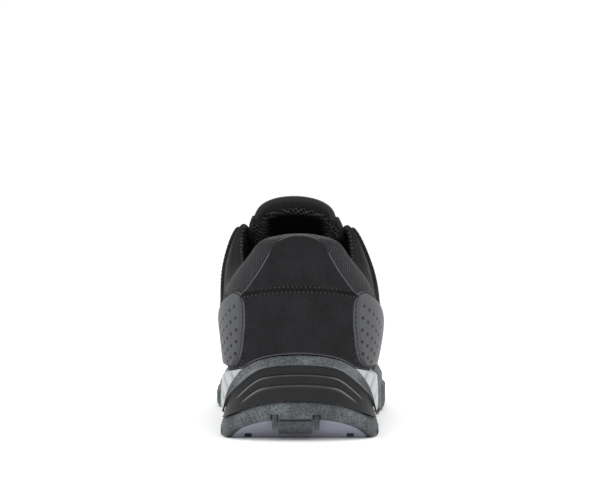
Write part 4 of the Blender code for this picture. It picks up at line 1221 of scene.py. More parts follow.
def build_eyelets():
    """Pressed metal rings with a rolled edge, sunk a little into the nubuck."""
    angles = math.tau * np.linspace(0, 1, 33)
    turns = math.tau * np.linspace(0, 1, 13)
    middle, half = (EYELET_WIDTH + EYELET_HOLE) / 4, (EYELET_WIDTH - EYELET_HOLE) / 4
    for side in SIDES:
        patches = []
        for station in EYELET_STATIONS:
            base, normal, first, second = eyelet_frame(LOOP - station if side == "medial" else station)
            arm = first * np.cos(angles)[:, None] + second * np.sin(angles)[:, None]
            radius = middle + half * np.cos(turns)
            lift = EYELET_THICKNESS * (0.25 + 0.75 * np.sin(turns))
            rings = base + arm[:, None] * radius[None, :, None] + normal * lift[None, :, None]
            patches.append(patch(rings))
        nodes = [f"eyelet_{side}_{number}" for number in range(1, len(EYELET_STATIONS) + 1)]
        add_piece(f"eyelet_rings_{side}", patches, [eyelet_enamel()], nodes)


# How far the lace is pressed into the tongue, and how far its ends dip into the eyelets
LACE_PRESS = 0.0012
LACE_DIP = 0.0012


def lace_strips():
    """Start and end station of each crossing, with the extra height of the upper one."""
    strips = [(EYELET_STATIONS[-1], EYELET_STATIONS[-1], 0.0)]
    for near, far in zip(EYELET_STATIONS, EYELET_STATIONS[1:]):
        strips += [(near, far, -0.0002), (far, near, 0.0011)]
    return strips


def lace_line(start, end, higher):
    """Middle line of one crossing, out of one eyelet, over the tongue and into the other."""
    lift = EYELET_THICKNESS + LACE_THICKNESS * 0.45
    ends = [eyelet_frame(u) for u in (LOOP - start, end)]
    low, high = (base + normal * lift for base, normal, _, _ in ends)
    station = (start + end) / 2
    share = np.clip((THROAT_END - station) / (THROAT_END - TONGUE_BACK), 0.0, 1.0)
    across = np.linspace(-1, 1, 29)[:, None]
    points = low + (high - low) * (across + 1) / 2
    arch = TONGUE_CROWN * share**1.2 + LACE_ARCH + higher - LACE_PRESS
    points = points + join(0.0, 0.0, arch * (1 - np.abs(across[:, 0]) ** 2.8))
    dips = [base - normal * LACE_DIP for base, normal, _, _ in ends]
    return np.concatenate([[dips[0]], points, [dips[1]]])


def build_lace():
    """Flat woven lace, crossed from eyelet to eyelet and dipping into each of them."""
    patches = []
    angles = math.tau * np.linspace(0, 1, 17)
    flat = np.sign(np.cos(angles)) * np.abs(np.cos(angles)) ** 0.6
    round_off = np.sign(np.sin(angles)) * np.abs(np.sin(angles)) ** 0.8
    for start, end, higher in lace_strips():
        line = lace_line(start, end, higher)
        run = unit(np.gradient(line, axis=0))
        wide = np.array((0.0, 1.0, -0.4))
        wide = unit(wide - run * (run @ wide)[:, None])
        thick = np.cross(run, wide)
        from_end = np.minimum(np.arange(len(line)), np.arange(len(line))[::-1])
        narrow = np.interp(from_end, (0, 1, 3), (0.5, 0.62, 1.0))
        ring = line[:, None] + wide[:, None] * (flat * LACE_WIDTH / 2)[None, :, None] * narrow[:, None, None]
        ring = ring + thick[:, None] * (round_off * LACE_THICKNESS / 2)[None, :, None]
        patches.append(patch(ring))
        for k in (0, -1):
            patches.append(patch(np.stack([ring[k], np.broadcast_to(line[k], ring[k].shape)], axis=1)))
    add_piece("lace_run", patches, [lace_weave()], ["lace"], sharp=60)


# Grooves moulded into the sides of the midsole, all leaning forward as they rise
MIDSOLE_GROOVE_PITCH = 0.0085
MIDSOLE_GROOVE_LEAN = 0.75
MIDSOLE_SWELL = 0.0021


def build_midsole():
    """Pale foam midsole with slanting grooves in its sides."""
    side = np.linspace(0, STATIONS, 321)
    up = np.linspace(0, 1, 25)
    patches, ends = [], {0: [], -1: []}
    for u in (side, LOOP - side):
        columns = u[:, None]
        floor, feather = floor_height(columns) + FIT_GAP, loop_value(FEATHER_Z, columns) - FIT_GAP
        z = floor + (feather - floor) * up[None, :]
        flat = body_point(columns, z, 0.0)
        reach = border_distances(flat)[0]
        phase = (reach - z * MIDSOLE_GROOVE_LEAN) / MIDSOLE_GROOVE_PITCH
        groove = bell((phase - np.round(phase)) * MIDSOLE_GROOVE_PITCH, 0.00085)
        station = side_station(columns)
        shown = smooth_step(station, 2.4, 2.8) * (1 - smooth_step(station, 8.6, 9.2))
        inside = smooth_step(up, 0.03, 0.12) * (1 - smooth_step(up, 0.93, 1.0))
        depth = groove * shown * inside
        waist = 0.0006 * np.sin(math.pi * up)[None, :] * shown
        full = smooth_step(station, 2.6, 3.6) * (1 - smooth_step(station, 6.5, 7.6))
        swell = smooth_step(up, 0.0, 0.3) * (1 + 0.7 * up) * (1 - 0.6 * smooth_step(up, 0.93, 1.0))
        waist = waist + MIDSOLE_SWELL * full * swell
        points = body_point(columns, z, waist - 0.0013 * depth)
        # Painted shade in the grooves
        patches.append(patch(points, 0, 0.6 * depth))
        for k in ends:
            ends[k].append(points[:, k])
    for pair in ends.values():
        patches.append(patch(np.stack(pair, axis=1)))
    add_piece("midsole_foam", patches, [midsole_foam()], ["midsole"])


# Steps of the heel cup from its foot (0) to its rim (1), and how far each stands out
CupStep = namedtuple("CupStep", "rise out")
CUP_STEPS = (
    CupStep(0.00, 2.5),
    CupStep(0.34, 2.2),
    CupStep(0.37, 1.5),
    CupStep(0.57, 1.9),
    CupStep(0.60, 1.1),
    CupStep(0.77, 1.3),
    CupStep(0.80, 2.3),
    CupStep(0.97, 1.9),
    CupStep(1.00, 1.2),
)

# Ledges of the heel cup: rise, and its painted shade (above 0), in the creases behind the ledges and under
# the band, or painted highlight (below 0), on the ledges' corners
CUP_SHADE = (
    (0.318, 0.0),
    (0.325, -1.0),
    (0.342, -1.0),
    (0.352, 0.0),
    (0.366, 0.8),
    (0.40, 0.0),
    (0.555, 0.0),
    (0.562, -1.0),
    (0.572, -1.0),
    (0.582, 0.0),
    (0.596, 0.8),
    (0.62, 0.0),
    (0.755, 0.0),
    (0.775, 0.9),
    (0.798, -0.3),
    (0.805, -0.3),
    (0.82, 0.0),
)

# Rise at which the cup's grey band starts, and how much the ribs crowd to the foot at the sides
CUP_BAND = 0.77
CUP_SQUEEZE = 0.95


def cup_profile():
    """Rises and outs of the cup's face, with a small chamfer on every ledge's corner."""
    rises, outs = [], []
    for step, ahead in zip(CUP_STEPS, CUP_STEPS[1:]):
        for share in (0.0, 0.06, 0.2, 0.5, 0.8, 0.94):
            rises.append(step.rise + (ahead.rise - step.rise) * share)
            outs.append(step.out + (ahead.out - step.out) * share)
    rises.append(CUP_STEPS[-1].rise)
    outs.append(CUP_STEPS[-1].out)
    return np.array(rises), np.array(outs)


def build_heel_cup():
    """Stepped rubber cup round the back of the midsole: black ribs under a grey band."""
    u = np.linspace(-CUP_END + 0.15, CUP_END - 0.15, 193)[:, None]
    low, high = wrap_top(u) + FIT_GAP, cup_top(u)
    station = side_station(u)
    squeeze = 1 + CUP_SQUEEZE * smooth_step(station / CUP_END, 0.3, 0.735)
    rises, outs = cup_profile()
    z = low + (high - low) * rises[None, :] ** squeeze
    ends = np.where(rises < 0.47, 1.90, 2.25)[None, :]
    kept = np.where(rises < 0.75, 1 - smooth_step(station, ends - 0.35, ends), 1.0)
    plain = np.interp(rises, (0.0, 0.74, CUP_BAND), [CUP_STEPS[k].out for k in (0, 4, 5)])
    outs = np.where(rises < CUP_BAND, plain + (outs - plain) * kept, outs)
    outer = body_point(u, z, outs * 0.001 + FIT_GAP)
    inner = body_point(u, z, FIT_GAP)
    material = np.where(rises[:-1] + 1e-6 >= CUP_BAND, 1, 0)[None, :]
    shade = np.interp(rises, *zip(*CUP_SHADE))
    # The ledges' painted highlights are faint at the middle of the back and full at the sides
    highlight_strength = (0.25 + 0.75 * smooth_step(station, 0.7, 1.4)) * kept
    shade = np.where(shade < 0, shade * highlight_strength, shade * kept)
    # Painted shade over the grey band's low ends at the sides
    shade = shade + 0.9 * smooth_step(station, 2.3, 3.0) * (rises > 0.75)
    patches = [patch(outer, material, shade), patch(inner)]
    patches += [patch(np.stack([outer[:, k], inner[:, k]], axis=1), 1 if k else 0) for k in (0, -1)]
    patches += [patch(np.stack([outer[k], inner[k]], axis=1)) for k in (0, -1)]
    finishes = [heel_rubber(), sole_rubber()]
    add_piece("heel_cup_ribs", patches, finishes, ["heel_cup"], sharp=25)


# Grooves of the tread across the shoe, as shares of its length
CROSS_GROOVES = (
    *(0.078, 0.135, 0.192, 0.249),
    *(0.462, 0.515, 0.568, 0.621, 0.674, 0.727, 0.780, 0.833, 0.886),
)

# Width of the flank of a side tooth in stations
TOOTH_SLOPE = 0.06

# Short grooves along the shoe under the back of the heel
SIDE_GROOVES = (-0.0259, 0.0261)
SIDE_GROOVE_WIDTH = 0.0036
SIDE_GROOVE_DEPTH = 0.0026


def sole_stations():
    """Stations of one side, with a doubled one at each tooth's flank."""
    back = np.linspace(0, 7, 113)
    front = []
    for k in range(15, 32):
        front += [k / 2 - 0.25, k / 2, k / 2 + TOOTH_SLOPE, k / 2 + TOOTH_SLOPE + 0.1]
    return np.unique(np.round(np.concatenate([back, [7.1], front, [STATIONS]]), 5))


def sole_rows(u):
    """Rows of points up the side of the outsole, from its tread to its floor."""
    station = side_station(u)
    half_steps = np.floor(station * 2 + 1e-6)
    on_slope = (station > 7.4) & (station * 2 - half_steps > 1e-6) & (station * 2 - half_steps < 0.13)
    root = np.where(on_slope, half_steps / 2, station)
    plain = np.where(u <= STATIONS, root, LOOP - root)
    past = half_steps + (station * 2 - half_steps > 0.13)
    up_tooth = np.where(on_slope, 1 - half_steps % 2, past % 2)
    tooth = SIDE_LUG_PROUD * (1 - up_tooth) * (station > 7.6)
    bottom, rim = tread_height(loop_value(OUTLINE_Y, u)), wrap_top(u)
    rise = rim - bottom
    heel = 1 - smooth_step(station, 2.8, 3.6)
    lip = 0.0009 * heel
    rows = [
        outline_point(u, LUG_DEPTH * 0.8, bottom),
        outline_point(u, 0.0006 - tooth * 0.4 + lip + 0.0004, bottom + lip * 0.9),
        outline_point(u, 0.0006 - tooth * 0.4, bottom + 0.0001 + 0.02 * rise),
        outline_point(u, 0.0002 - tooth * 0.8, bottom + 0.08 * rise),
        outline_point(u, -tooth, bottom + 0.15 * rise),
        outline_point(u, -tooth, bottom + 0.55 * rise),
        outline_point(u, 0.0004, bottom + 0.62 * rise),
        outline_point(u, 0.0007, bottom + 0.8 * rise),
        body_point(plain, wrap_top(plain) - 0.0004, RUBBER_WALL),
        body_point(plain, wrap_top(plain), RUBBER_WALL - 0.0004),
        body_point(plain, wrap_top(plain), FIT_GAP),
        body_point(plain, floor_height(plain), FIT_GAP),
    ]
    return np.stack(rows, axis=1)


def box(low, high):
    """Corners and faces of a box."""
    verts = [(x, y, z) for z in (low[2], high[2]) for y in (low[1], high[1]) for x in (low[0], high[0])]
    faces = [(0, 2, 3, 1), (4, 5, 7, 6), (0, 1, 5, 4), (2, 6, 7, 3), (0, 4, 6, 2), (1, 3, 7, 5)]
    return verts, faces


def sole_cutters():
    """Boxes of the grooves and of the two notches at the back of the heel."""
    half, middle = BALL_WIDTH, CENTRE_GROOVE_WIDTH / 2
    cuts = []
    for share in CROSS_GROOVES:
        y = share * SHOE_LENGTH
        cuts.append(((-half, y, -LUG_DEPTH), (half, y + GROOVE_WIDTH, sole_bottom(y) + LUG_DEPTH)))
    for x in SIDE_GROOVES:
        low, high = (x - SIDE_GROOVE_WIDTH / 2, x + SIDE_GROOVE_WIDTH / 2)
        cuts.append(((low, 0.5 * BEVEL_RUN, -LUG_DEPTH), (high, 0.07 * SHOE_LENGTH, SIDE_GROOVE_DEPTH)))
    for start, end in ((0.085, 0.255), (0.468, 0.735)):
        top = LUG_DEPTH - FIT_GAP
        cuts.append(((-middle, start * SHOE_LENGTH, -LUG_DEPTH), (middle, end * SHOE_LENGTH, top)))
    return cuts


def notch_cutters():
    cuts = []
    for side in (-1, 1):
        x = NOTCH_SHIFT + side * NOTCH_SPACING / 2
        low = (x - NOTCH_WIDTH / 2, -NOTCH_DEPTH, -LUG_DEPTH)
        cuts.append((low, (x + NOTCH_WIDTH / 2, NOTCH_DEPTH + 0.0005, NOTCH_HEIGHT)))
    return cuts


def carve(piece, cuts):
    """Cuts boxes out of a piece, one set at a time so that crossing boxes do not touch."""
    for number, group in enumerate(cuts):
        verts, faces = [], []
        for low, high in group:
            more_verts, more_faces = box(low, high)
            faces += [tuple(len(verts) + k for k in face) for face in more_faces]
            verts += more_verts
        mesh = bpy.data.meshes.new(f"cut_{number}")
        mesh.from_pydata((np.array(verts) + SHIFT).tolist(), [], faces)
        cutter = bpy.data.objects.new(mesh.name, mesh)
        bpy.context.scene.collection.objects.link(cutter)
        modifier = piece.modifiers.new(mesh.name, "BOOLEAN")
        modifier.operation = "DIFFERENCE"
        modifier.object = cutter
        modifier.solver = "EXACT"
        shown = piece.evaluated_get(bpy.context.evaluated_depsgraph_get())
        carved = bpy.data.meshes.new_from_object(shown)
        piece.modifiers.clear()
        old = piece.data
        piece.data = carved
        bpy.data.meshes.remove(old)
        bpy.data.objects.remove(cutter)
    piece.data.shade_smooth()
    piece.data.set_sharp_from_angle(angle=math.radians(28))


def build_outsole():
    """Rubber outsole: tread lugs, side teeth, the heel's band, bevel and notches."""
    side = sole_stations()
    patches, ends = [], {0: [], -1: []}
    for u in (side, LOOP - side):
        rows = sole_rows(u)
        patches.append(patch(rows))
        for k in ends:
            ends[k].append(rows[:, k])
    # The faces of the heel's bevel take the paler bevel rubber, painted light where the floor lights them
    bevelled = loop_value(OUTLINE_Y, side[1:]) < BEVEL_RUN
    patches.append(patch(np.stack(ends[0], axis=1), np.where(bevelled, 1, 0)[:, None]))
    patches.append(patch(np.stack(ends[-1], axis=1)))
    finishes = [sole_rubber(), bevel_rubber()]
    piece = add_piece("outsole_tread", patches, finishes, ["outsole"], sharp=28)
    grooves = sole_cutters()
    count = len(CROSS_GROOVES)
    carve(piece, [grooves[:count], grooves[count:], notch_cutters()])


def prism(line, low_x, high_x, count=7):
    """Patches of a bar across the heel with a section line given as y and z."""
    x = np.linspace(low_x, high_x, count)
    section = np.array((*line, line[0]))
    points = join(x[:, None], section[None, :, 0], section[None, :, 1])
    middle = section[:-1].mean(axis=0)
    patches = [patch(points)]
    for k in (0, -1):
        centre = np.broadcast_to((x[k], *middle), points[k].shape)
        patches.append(patch(np.stack([points[k], centre], axis=1)))
    return patches


# Section of the bar in each notch and of the block between them, as places y and z
BAR_SECTION = ((0.0019, 0.0134), (0.0030, 0.0056), (0.0060, 0.0056), (0.0060, 0.0134))
BLOCK_SECTION = ((0.0012, 0.0100), (0.0030, 0.0063), (0.0085, 0.0030), (0.0140, 0.0030), (0.0060, 0.0100))


def build_heel_bars():
    """Bars set back in the heel's notches and the stepped block between them."""
    patches = []
    for side in (-1, 1):
        x = NOTCH_SHIFT + side * NOTCH_SPACING / 2
        patches += prism(BAR_SECTION, x - NOTCH_WIDTH * 0.27, x + NOTCH_WIDTH * 0.36)
    half = (NOTCH_SPACING - NOTCH_WIDTH) / 2 - FIT_GAP
    patches += prism(BLOCK_SECTION, NOTCH_SHIFT - half, NOTCH_SHIFT + half, 11)
    # Painted shade: the bars and the block, set back in the heel, are drawn a little darker
    patches = [part._replace(shade=part.shade + 0.22) for part in patches]
    add_piece("heel_bars", patches, [sole_rubber()], (), sharp=25)


def linear(text):
    """Linear colour of an sRGB hex value."""
    shares = [int(text[k : k + 2], 16) / 255 for k in (0, 2, 4)]
    return tuple(s / 12.92 if s <= 0.04045 else ((s + 0.055) / 1.055) ** 2.4 for s in shares)


def add_node(tree, kind, inputs=None, into=None, **settings):
    """Adds a node, sets it up, and sets its inputs or links them to other nodes' sockets. Its
    first output is linked into a socket where one is given."""
    made = tree.nodes.new(kind)
    for name, value in settings.items():
        setattr(made, name, value)
    for name, value in (inputs or {}).items():
        if isinstance(value, bpy.types.NodeSocket):
            tree.links.new(value, made.inputs[name])
        else:
            made.inputs[name].default_value = value
    if into is not None:
        tree.links.new(made.outputs[0], into)
    return made


def new_finish(name, **values):
    """Material with a Principled shader whose plain values are set on its own sockets."""
    made = bpy.data.materials.new(name)
    made.use_nodes = True
    tree = made.node_tree
    shader = tree.nodes["Principled BSDF"]
    for socket, value in values.items():
        shader.inputs[socket.replace("_", " ")].default_value = value
    place = add_node(tree, "ShaderNodeTexCoord")
    return made, tree, shader, place.outputs["Object"]


def shaded_colour(tree, shader, base, light, share, floor=0.25, pale="8A8A8C"):
    """Colour between base and light by a share, with painted shade where the mesh's shade is above 0
    and a painted highlight, mixed towards the pale colour, where its shade is below 0."""
    mixed = add_node(
        tree,
        "ShaderNodeMix",
        {"Factor": share, "A": (*base, 1), "B": (*light, 1)},
        data_type="RGBA",
    )
    shade = add_node(tree, "ShaderNodeAttribute", attribute_name="shade")
    dark = tuple(channel * floor for channel in base)
    result = add_node(
        tree,
        "ShaderNodeMix",
        {"Factor": shade.outputs["Fac"], "A": mixed.outputs["Result"], "B": (*dark, 1)},
        data_type="RGBA",
    )
    # Painted highlight: where the shade is below 0 the colour is mixed towards the pale colour
    highlight_strength = add_node(
        tree, "ShaderNodeMath", {0: shade.outputs["Fac"], 1: -1.0}, operation="MULTIPLY", use_clamp=True
    )
    bright = add_node(
        tree,
        "ShaderNodeMix",
        {"Factor": highlight_strength.outputs[0], "A": result.outputs["Result"], "B": (*linear(pale), 1)},
        data_type="RGBA",
    )
    tree.links.new(bright.outputs["Result"], shader.inputs["Base Color"])


def share_of(colour, amount):
    """A colour made darker or lighter by one factor."""
    return tuple(channel * amount for channel in colour)


def colours():
    return bpy.context.scene.sneaker_colours


def grained(name, colour, tones, mottle, grain=None, floor=0.25, **values):
    """Finish mottled between two tones, shares of a named colour. mottle is the scale and detail
    of its noise, and grain those of the noise in relief, with its strength and depth."""
    made, tree, shader, place = new_finish(name, **values)
    dark, light = (share_of(getattr(colours(), colour), tone) for tone in tones)
    noises = [
        add_node(tree, "ShaderNodeTexNoise", {"Vector": place, "Scale": scale, "Detail": detail})
        for scale, detail, *_ in (mottle, grain or mottle)
    ]
    shaded_colour(tree, shader, dark, light, noises[0].outputs["Fac"], floor)
    if grain:
        relief_inputs = {"Height": noises[1].outputs["Fac"], "Strength": grain[2], "Distance": grain[3]}
        add_node(tree, "ShaderNodeBump", relief_inputs, shader.inputs["Normal"])
    return made


def nubuck():
    """Buffed cowhide nubuck: a short even nap, so it is dull, a little mottled where the nap lies
    another way, and paler at grazing angles."""
    made, tree, shader, place = new_finish(
        "nubuck", Roughness=0.86, Sheen_Weight=0.05, Sheen_Roughness=0.45, Specular_IOR_Level=0.12
    )
    base = tuple(colours().nubuck)
    patches = add_node(
        tree, "ShaderNodeTexNoise", {"Vector": place, "Scale": 85, "Detail": 3, "Roughness": 0.62}
    )
    nap = add_node(
        tree, "ShaderNodeTexNoise", {"Vector": place, "Scale": 1500, "Detail": 2, "Roughness": 0.6}
    )
    blend = add_node(
        tree, "ShaderNodeMath", {0: patches.outputs["Fac"], 1: nap.outputs["Fac"]}, operation="ADD"
    )
    share = add_node(
        tree, "ShaderNodeMapRange", {"Value": blend.outputs[0], "From Min": 0.78, "From Max": 1.22}
    )
    shaded_colour(tree, shader, share_of(base, 0.74), share_of(base, 1.30), share.outputs[0])
    relief_inputs = {"Height": nap.outputs["Fac"], "Strength": 0.5, "Distance": 0.00018}
    add_node(tree, "ShaderNodeBump", relief_inputs, shader.inputs["Normal"])
    return made


def toe_leather():
    """Full grain leather with a thin rubbery coat: a pebbled grain of about 1 mm and a low gloss."""
    made, tree, shader, place = new_finish("coated_leather", Roughness=0.6, Specular_IOR_Level=0.25)
    base = tuple(colours().nubuck)
    pebbles = add_node(tree, "ShaderNodeTexVoronoi", {"Vector": place, "Scale": 950}, feature="SMOOTH_F1")
    patches = add_node(tree, "ShaderNodeTexNoise", {"Vector": place, "Scale": 60, "Detail": 3})
    shaded_colour(tree, shader, share_of(base, 0.8), share_of(base, 1.2), patches.outputs["Fac"])
    relief_inputs = {"Height": pebbles.outputs["Distance"], "Strength": 0.35, "Distance": 0.0002}
    add_node(tree, "ShaderNodeBump", relief_inputs, shader.inputs["Normal"])
    return made


def weave_place(tree, pitch_along, pitch_across, turn=0.0):
    """Coordinates over a mesh's own metres in which one stitch of a fabric is 1 by 1."""
    metres = add_node(tree, "ShaderNodeUVMap", uv_map="metres")
    spun = add_node(
        tree, "ShaderNodeMapping", {"Vector": metres.outputs[0], "Rotation": (0, 0, math.radians(turn))}
    )
    scale = (1 / pitch_along, 1 / pitch_across, 1)
    return add_node(tree, "ShaderNodeMapping", {"Vector": spun.outputs[0], "Scale": scale}).outputs[0]


# Scale at which a wave texture's band is 1 wide
WAVE_UNIT = math.pi / 10


def mesh_fabric(name, base, pitch, hole, floor, roughness, light, depth=0.0005, gloss=0.12):
    """Knitted mesh: rows of small round holes between smooth yarns, so it is speckled dark and
    pale."""
    made, tree, shader, place = new_finish(
        name, Roughness=roughness, Sheen_Weight=gloss / 3, Sheen_Roughness=0.4, Specular_IOR_Level=gloss
    )
    stitch = weave_place(tree, pitch, pitch, 45)
    holes = add_node(
        tree,
        "ShaderNodeTexVoronoi",
        {"Vector": stitch, "Scale": 1.0, "Randomness": 0.12},
        voronoi_dimensions="2D",
    )
    depth_share = add_node(
        tree,
        "ShaderNodeMapRange",
        {"Value": holes.outputs["Distance"], "From Min": hole * 0.6, "From Max": hole * 1.5},
        interpolation_type="SMOOTHSTEP",
    )
    mottle = add_node(tree, "ShaderNodeTexNoise", {"Vector": place, "Scale": 240, "Detail": 2})
    share = add_node(
        tree, "ShaderNodeMath", {0: depth_share.outputs[0], 1: mottle.outputs["Fac"]}, operation="MULTIPLY"
    )
    full = add_node(
        tree, "ShaderNodeMath", {0: share.outputs[0], 1: 1.8}, operation="MULTIPLY", use_clamp=True
    )
    shaded_colour(tree, shader, share_of(base, floor), share_of(base, light), full.outputs[0])
    relief_inputs = {"Height": depth_share.outputs[0], "Strength": 0.8, "Distance": depth}
    add_node(tree, "ShaderNodeBump", relief_inputs, shader.inputs["Normal"])
    return made


def quarter_mesh():
    """Polyester air mesh of the quarters and vamp. Its holes, 1.5 mm apart, are drawn 1.7 mm
    apart, so that they show."""
    return mesh_fabric("polyester_air_mesh", tuple(colours().textile), 0.0017, 0.28, 0.12, 0.85, 2.3)


def spacer_mesh():
    """Soft spacer mesh of the tongue's lining. Its loops catch the light one by one. They are
    1.3 mm apart and drawn 2.2 mm apart, so that they show."""
    return mesh_fabric("spacer_mesh", tuple(colours().lining), 0.0022, 0.34, 0.05, 0.9, 24.0, gloss=0.04)


def lining_mesh():
    """The same spacer mesh where it lines the collar and the inside of the shoe, darkened deeper in by
    painted shade.
    """
    return mesh_fabric("lining_mesh", tuple(colours().lining), 0.0022, 0.32, 0.1, 0.92, 24.0, gloss=0.04)


def lining_edge():
    """Brushed edge of the lining where it is turned over the top line: fuzzy and paler."""
    base = tuple(colours().collar)
    return mesh_fabric("brushed_lining", base, 0.0010, 0.30, 0.35, 0.95, 2.6, 0.0006)


def ribbed_knit(name, base, rib, row, roughness=0.86):
    """Rib knit: raised columns of small slanting loops, pale on their crowns."""
    made, tree, shader, place = new_finish(
        name, Roughness=roughness, Sheen_Weight=0.06, Sheen_Roughness=0.4, Specular_IOR_Level=0.12
    )
    stitch = weave_place(tree, rib, row, 62)
    ribs = add_node(
        tree,
        "ShaderNodeTexWave",
        {"Vector": stitch, "Scale": WAVE_UNIT, "Distortion": 1.2, "Detail": 1.0, "Detail Scale": 0.7},
        bands_direction="X",
    )
    rows = add_node(
        tree,
        "ShaderNodeTexWave",
        {"Vector": stitch, "Scale": WAVE_UNIT, "Distortion": 3.0, "Detail": 2.0, "Detail Scale": 1.5},
        bands_direction="DIAGONAL",
    )
    loops = add_node(
        tree, "ShaderNodeMath", {0: ribs.outputs["Fac"], 1: rows.outputs["Fac"]}, operation="MULTIPLY"
    )
    mottle = add_node(tree, "ShaderNodeTexNoise", {"Vector": place, "Scale": 420, "Detail": 3})
    share = add_node(
        tree, "ShaderNodeMath", {0: loops.outputs[0], 1: mottle.outputs["Fac"]}, operation="MULTIPLY"
    )
    full = add_node(
        tree, "ShaderNodeMath", {0: share.outputs[0], 1: 1.9}, operation="MULTIPLY", use_clamp=True
    )
    shaded_colour(tree, shader, share_of(base, 0.6), share_of(base, 1.9), full.outputs[0])
    relief_inputs = {"Height": loops.outputs[0], "Strength": 0.7, "Distance": 0.0004}
    add_node(tree, "ShaderNodeBump", relief_inputs, shader.inputs["Normal"])
    return made


def collar_knit():
    """Padded collar in a polyester rib knit, ribs drawn 0.8 mm apart so that they show."""
    return ribbed_knit("rib_knit", tuple(colours().collar), 0.0008, 0.0014)


def collar_strip():
    """Smooth microfibre strip between the quarters and the top line: even and dull."""
    plain = {"Roughness": 0.85, "Sheen_Weight": 0.03, "Sheen_Roughness": 0.4, "Specular_IOR_Level": 0.1}
    return grained("microfibre", "strip", (0.85, 1.15), (1800, 2), (1800, 2, 0.3, 0.0001), **plain)


def tongue_binding():
    """Smooth stretch microfibre round the tongue's padded edge, with a soft sheen."""
    plain = {"Roughness": 0.75, "Sheen_Weight": 0.08, "Sheen_Roughness": 0.35, "Specular_IOR_Level": 0.15}
    return grained("stretch_microfibre", "tongue", (0.85, 1.15), (120, 2), (1500, 2, 0.3, 0.0001), **plain)


def footbed_textile():
    """Brushed polyester on the footbed: a flat, fibrous, even dark face."""
    plain = {"Roughness": 0.95, "Sheen_Weight": 0.05, "Specular_IOR_Level": 0.1}
    return grained("brushed_polyester", "lining", (0.7, 1.6), (1100, 3), (1100, 3, 0.5, 0.0002), **plain)


def moulded_panel():
    """Injection moulded soft TPU with a spark eroded mould face: matt, grey, faintly grained."""
    plain = {"floor": 0.10, "Roughness": 0.5, "Specular_IOR_Level": 0.3}
    return grained("moulded_tpu", "panel", (0.9, 1.12), (70, 2), (1300, 2, 0.35, 0.0001), **plain)


def blasted_rubber(name, base, light, roughness, strength, pale):
    """Moulded rubber from a sand blasted mould: a fine sparkle of pale specks on a dull ground."""
    made, tree, shader, place = new_finish(name, Roughness=roughness, Specular_IOR_Level=0.22)
    specks = add_node(
        tree, "ShaderNodeTexNoise", {"Vector": place, "Scale": 1000, "Detail": 2, "Roughness": 0.75}
    )
    clouds = add_node(tree, "ShaderNodeTexNoise", {"Vector": place, "Scale": 55, "Detail": 3})
    both = add_node(
        tree, "ShaderNodeMath", {0: specks.outputs["Fac"], 1: clouds.outputs["Fac"]}, operation="ADD"
    )
    share = add_node(
        tree, "ShaderNodeMapRange", {"Value": both.outputs[0], "From Min": 0.88, "From Max": 1.2}
    )
    ground, speck = share_of(base, 1.65 - 0.6 * light), share_of(base, light)
    shaded_colour(tree, shader, ground, speck, share.outputs[0], 0.2, pale)
    relief_inputs = {"Height": specks.outputs["Fac"], "Strength": strength, "Distance": 0.0002}
    add_node(tree, "ShaderNodeBump", relief_inputs, shader.inputs["Normal"])
    return made


def sole_rubber():
    """Grey nitrile rubber of the tread, heel band and bumper, blasted to a fine sparkle."""
    return blasted_rubber("grey_nitrile_rubber", tuple(colours().sole), 1.75, 0.6, 0.7, "9798A4")


def bevel_rubber():
    """The same grey rubber on the smooth bevel under the heel, smoother, and painted paler as painted light
    from the floor below it.
    """
    return blasted_rubber("grey_rubber_bevel", tuple(colours().bevel), 1.15, 0.5, 0.15, "9798A4")


def heel_rubber():
    """Black rubber of the heel's ribs, smoother, with painted highlights on its ledges."""
    return blasted_rubber("black_rubber", tuple(colours().ribs), 1.4, 0.45, 0.3, "858688")


def midsole_foam():
    """Compression moulded EVA foam with a skin: pale grey, satin, with faint cells."""
    made, tree, shader, place = new_finish("eva_foam", Roughness=0.6, Specular_IOR_Level=0.35)
    base = tuple(colours().midsole)
    cells = add_node(tree, "ShaderNodeTexVoronoi", {"Vector": place, "Scale": 1500})
    soft = add_node(tree, "ShaderNodeTexNoise", {"Vector": place, "Scale": 60, "Detail": 3})
    shaded_colour(tree, shader, share_of(base, 0.9), share_of(base, 1.05), soft.outputs["Fac"], 0.3)
    relief_inputs = {"Height": cells.outputs["Distance"], "Strength": 0.25, "Distance": 0.0001}
    add_node(tree, "ShaderNodeBump", relief_inputs, shader.inputs["Normal"])
    return made


def lace_weave():
    """Flat polyester lace in a herringbone weave, its chevrons drawn 1.2 mm long."""
    made, tree, shader, _ = new_finish(
        "polyester_braid", Roughness=0.8, Sheen_Weight=0.08, Sheen_Roughness=0.4, Specular_IOR_Level=0.2
    )
    base = tuple(colours().lace)
    stitch = weave_place(tree, 0.0012, 0.0016)
    ribs = add_node(
        tree,
        "ShaderNodeTexWave",
        {"Vector": stitch, "Scale": WAVE_UNIT, "Distortion": 1.5, "Detail": 0.0, "Detail Scale": 2.0},
        bands_direction="DIAGONAL",
    )
    shaded_colour(tree, shader, share_of(base, 0.6), share_of(base, 1.6), ribs.outputs["Fac"])
    relief_inputs = {"Height": ribs.outputs["Fac"], "Strength": 0.7, "Distance": 0.0003}
    add_node(tree, "ShaderNodeBump", relief_inputs, shader.inputs["Normal"])
    return made


def sewing_thread(colour):
    """Bonded nylon thread or cord: round, tight and slightly shiny, so it has a bright back."""
    plain = {"Roughness": 0.45, "Specular_IOR_Level": 0.4}
    return grained(f"nylon_{colour}", colour, (0.8, 1.4), (1500, 1), **plain)


def eyelet_enamel():
    """Pressed steel eyelet with a black enamel coat: smooth, with a soft gloss."""
    plain = {"Roughness": 0.34, "Metallic": 0.9, "Coat_Weight": 0.3}
    return grained("enamelled_steel", "eyelet", (0.8, 1.3), (700, 3), **plain)


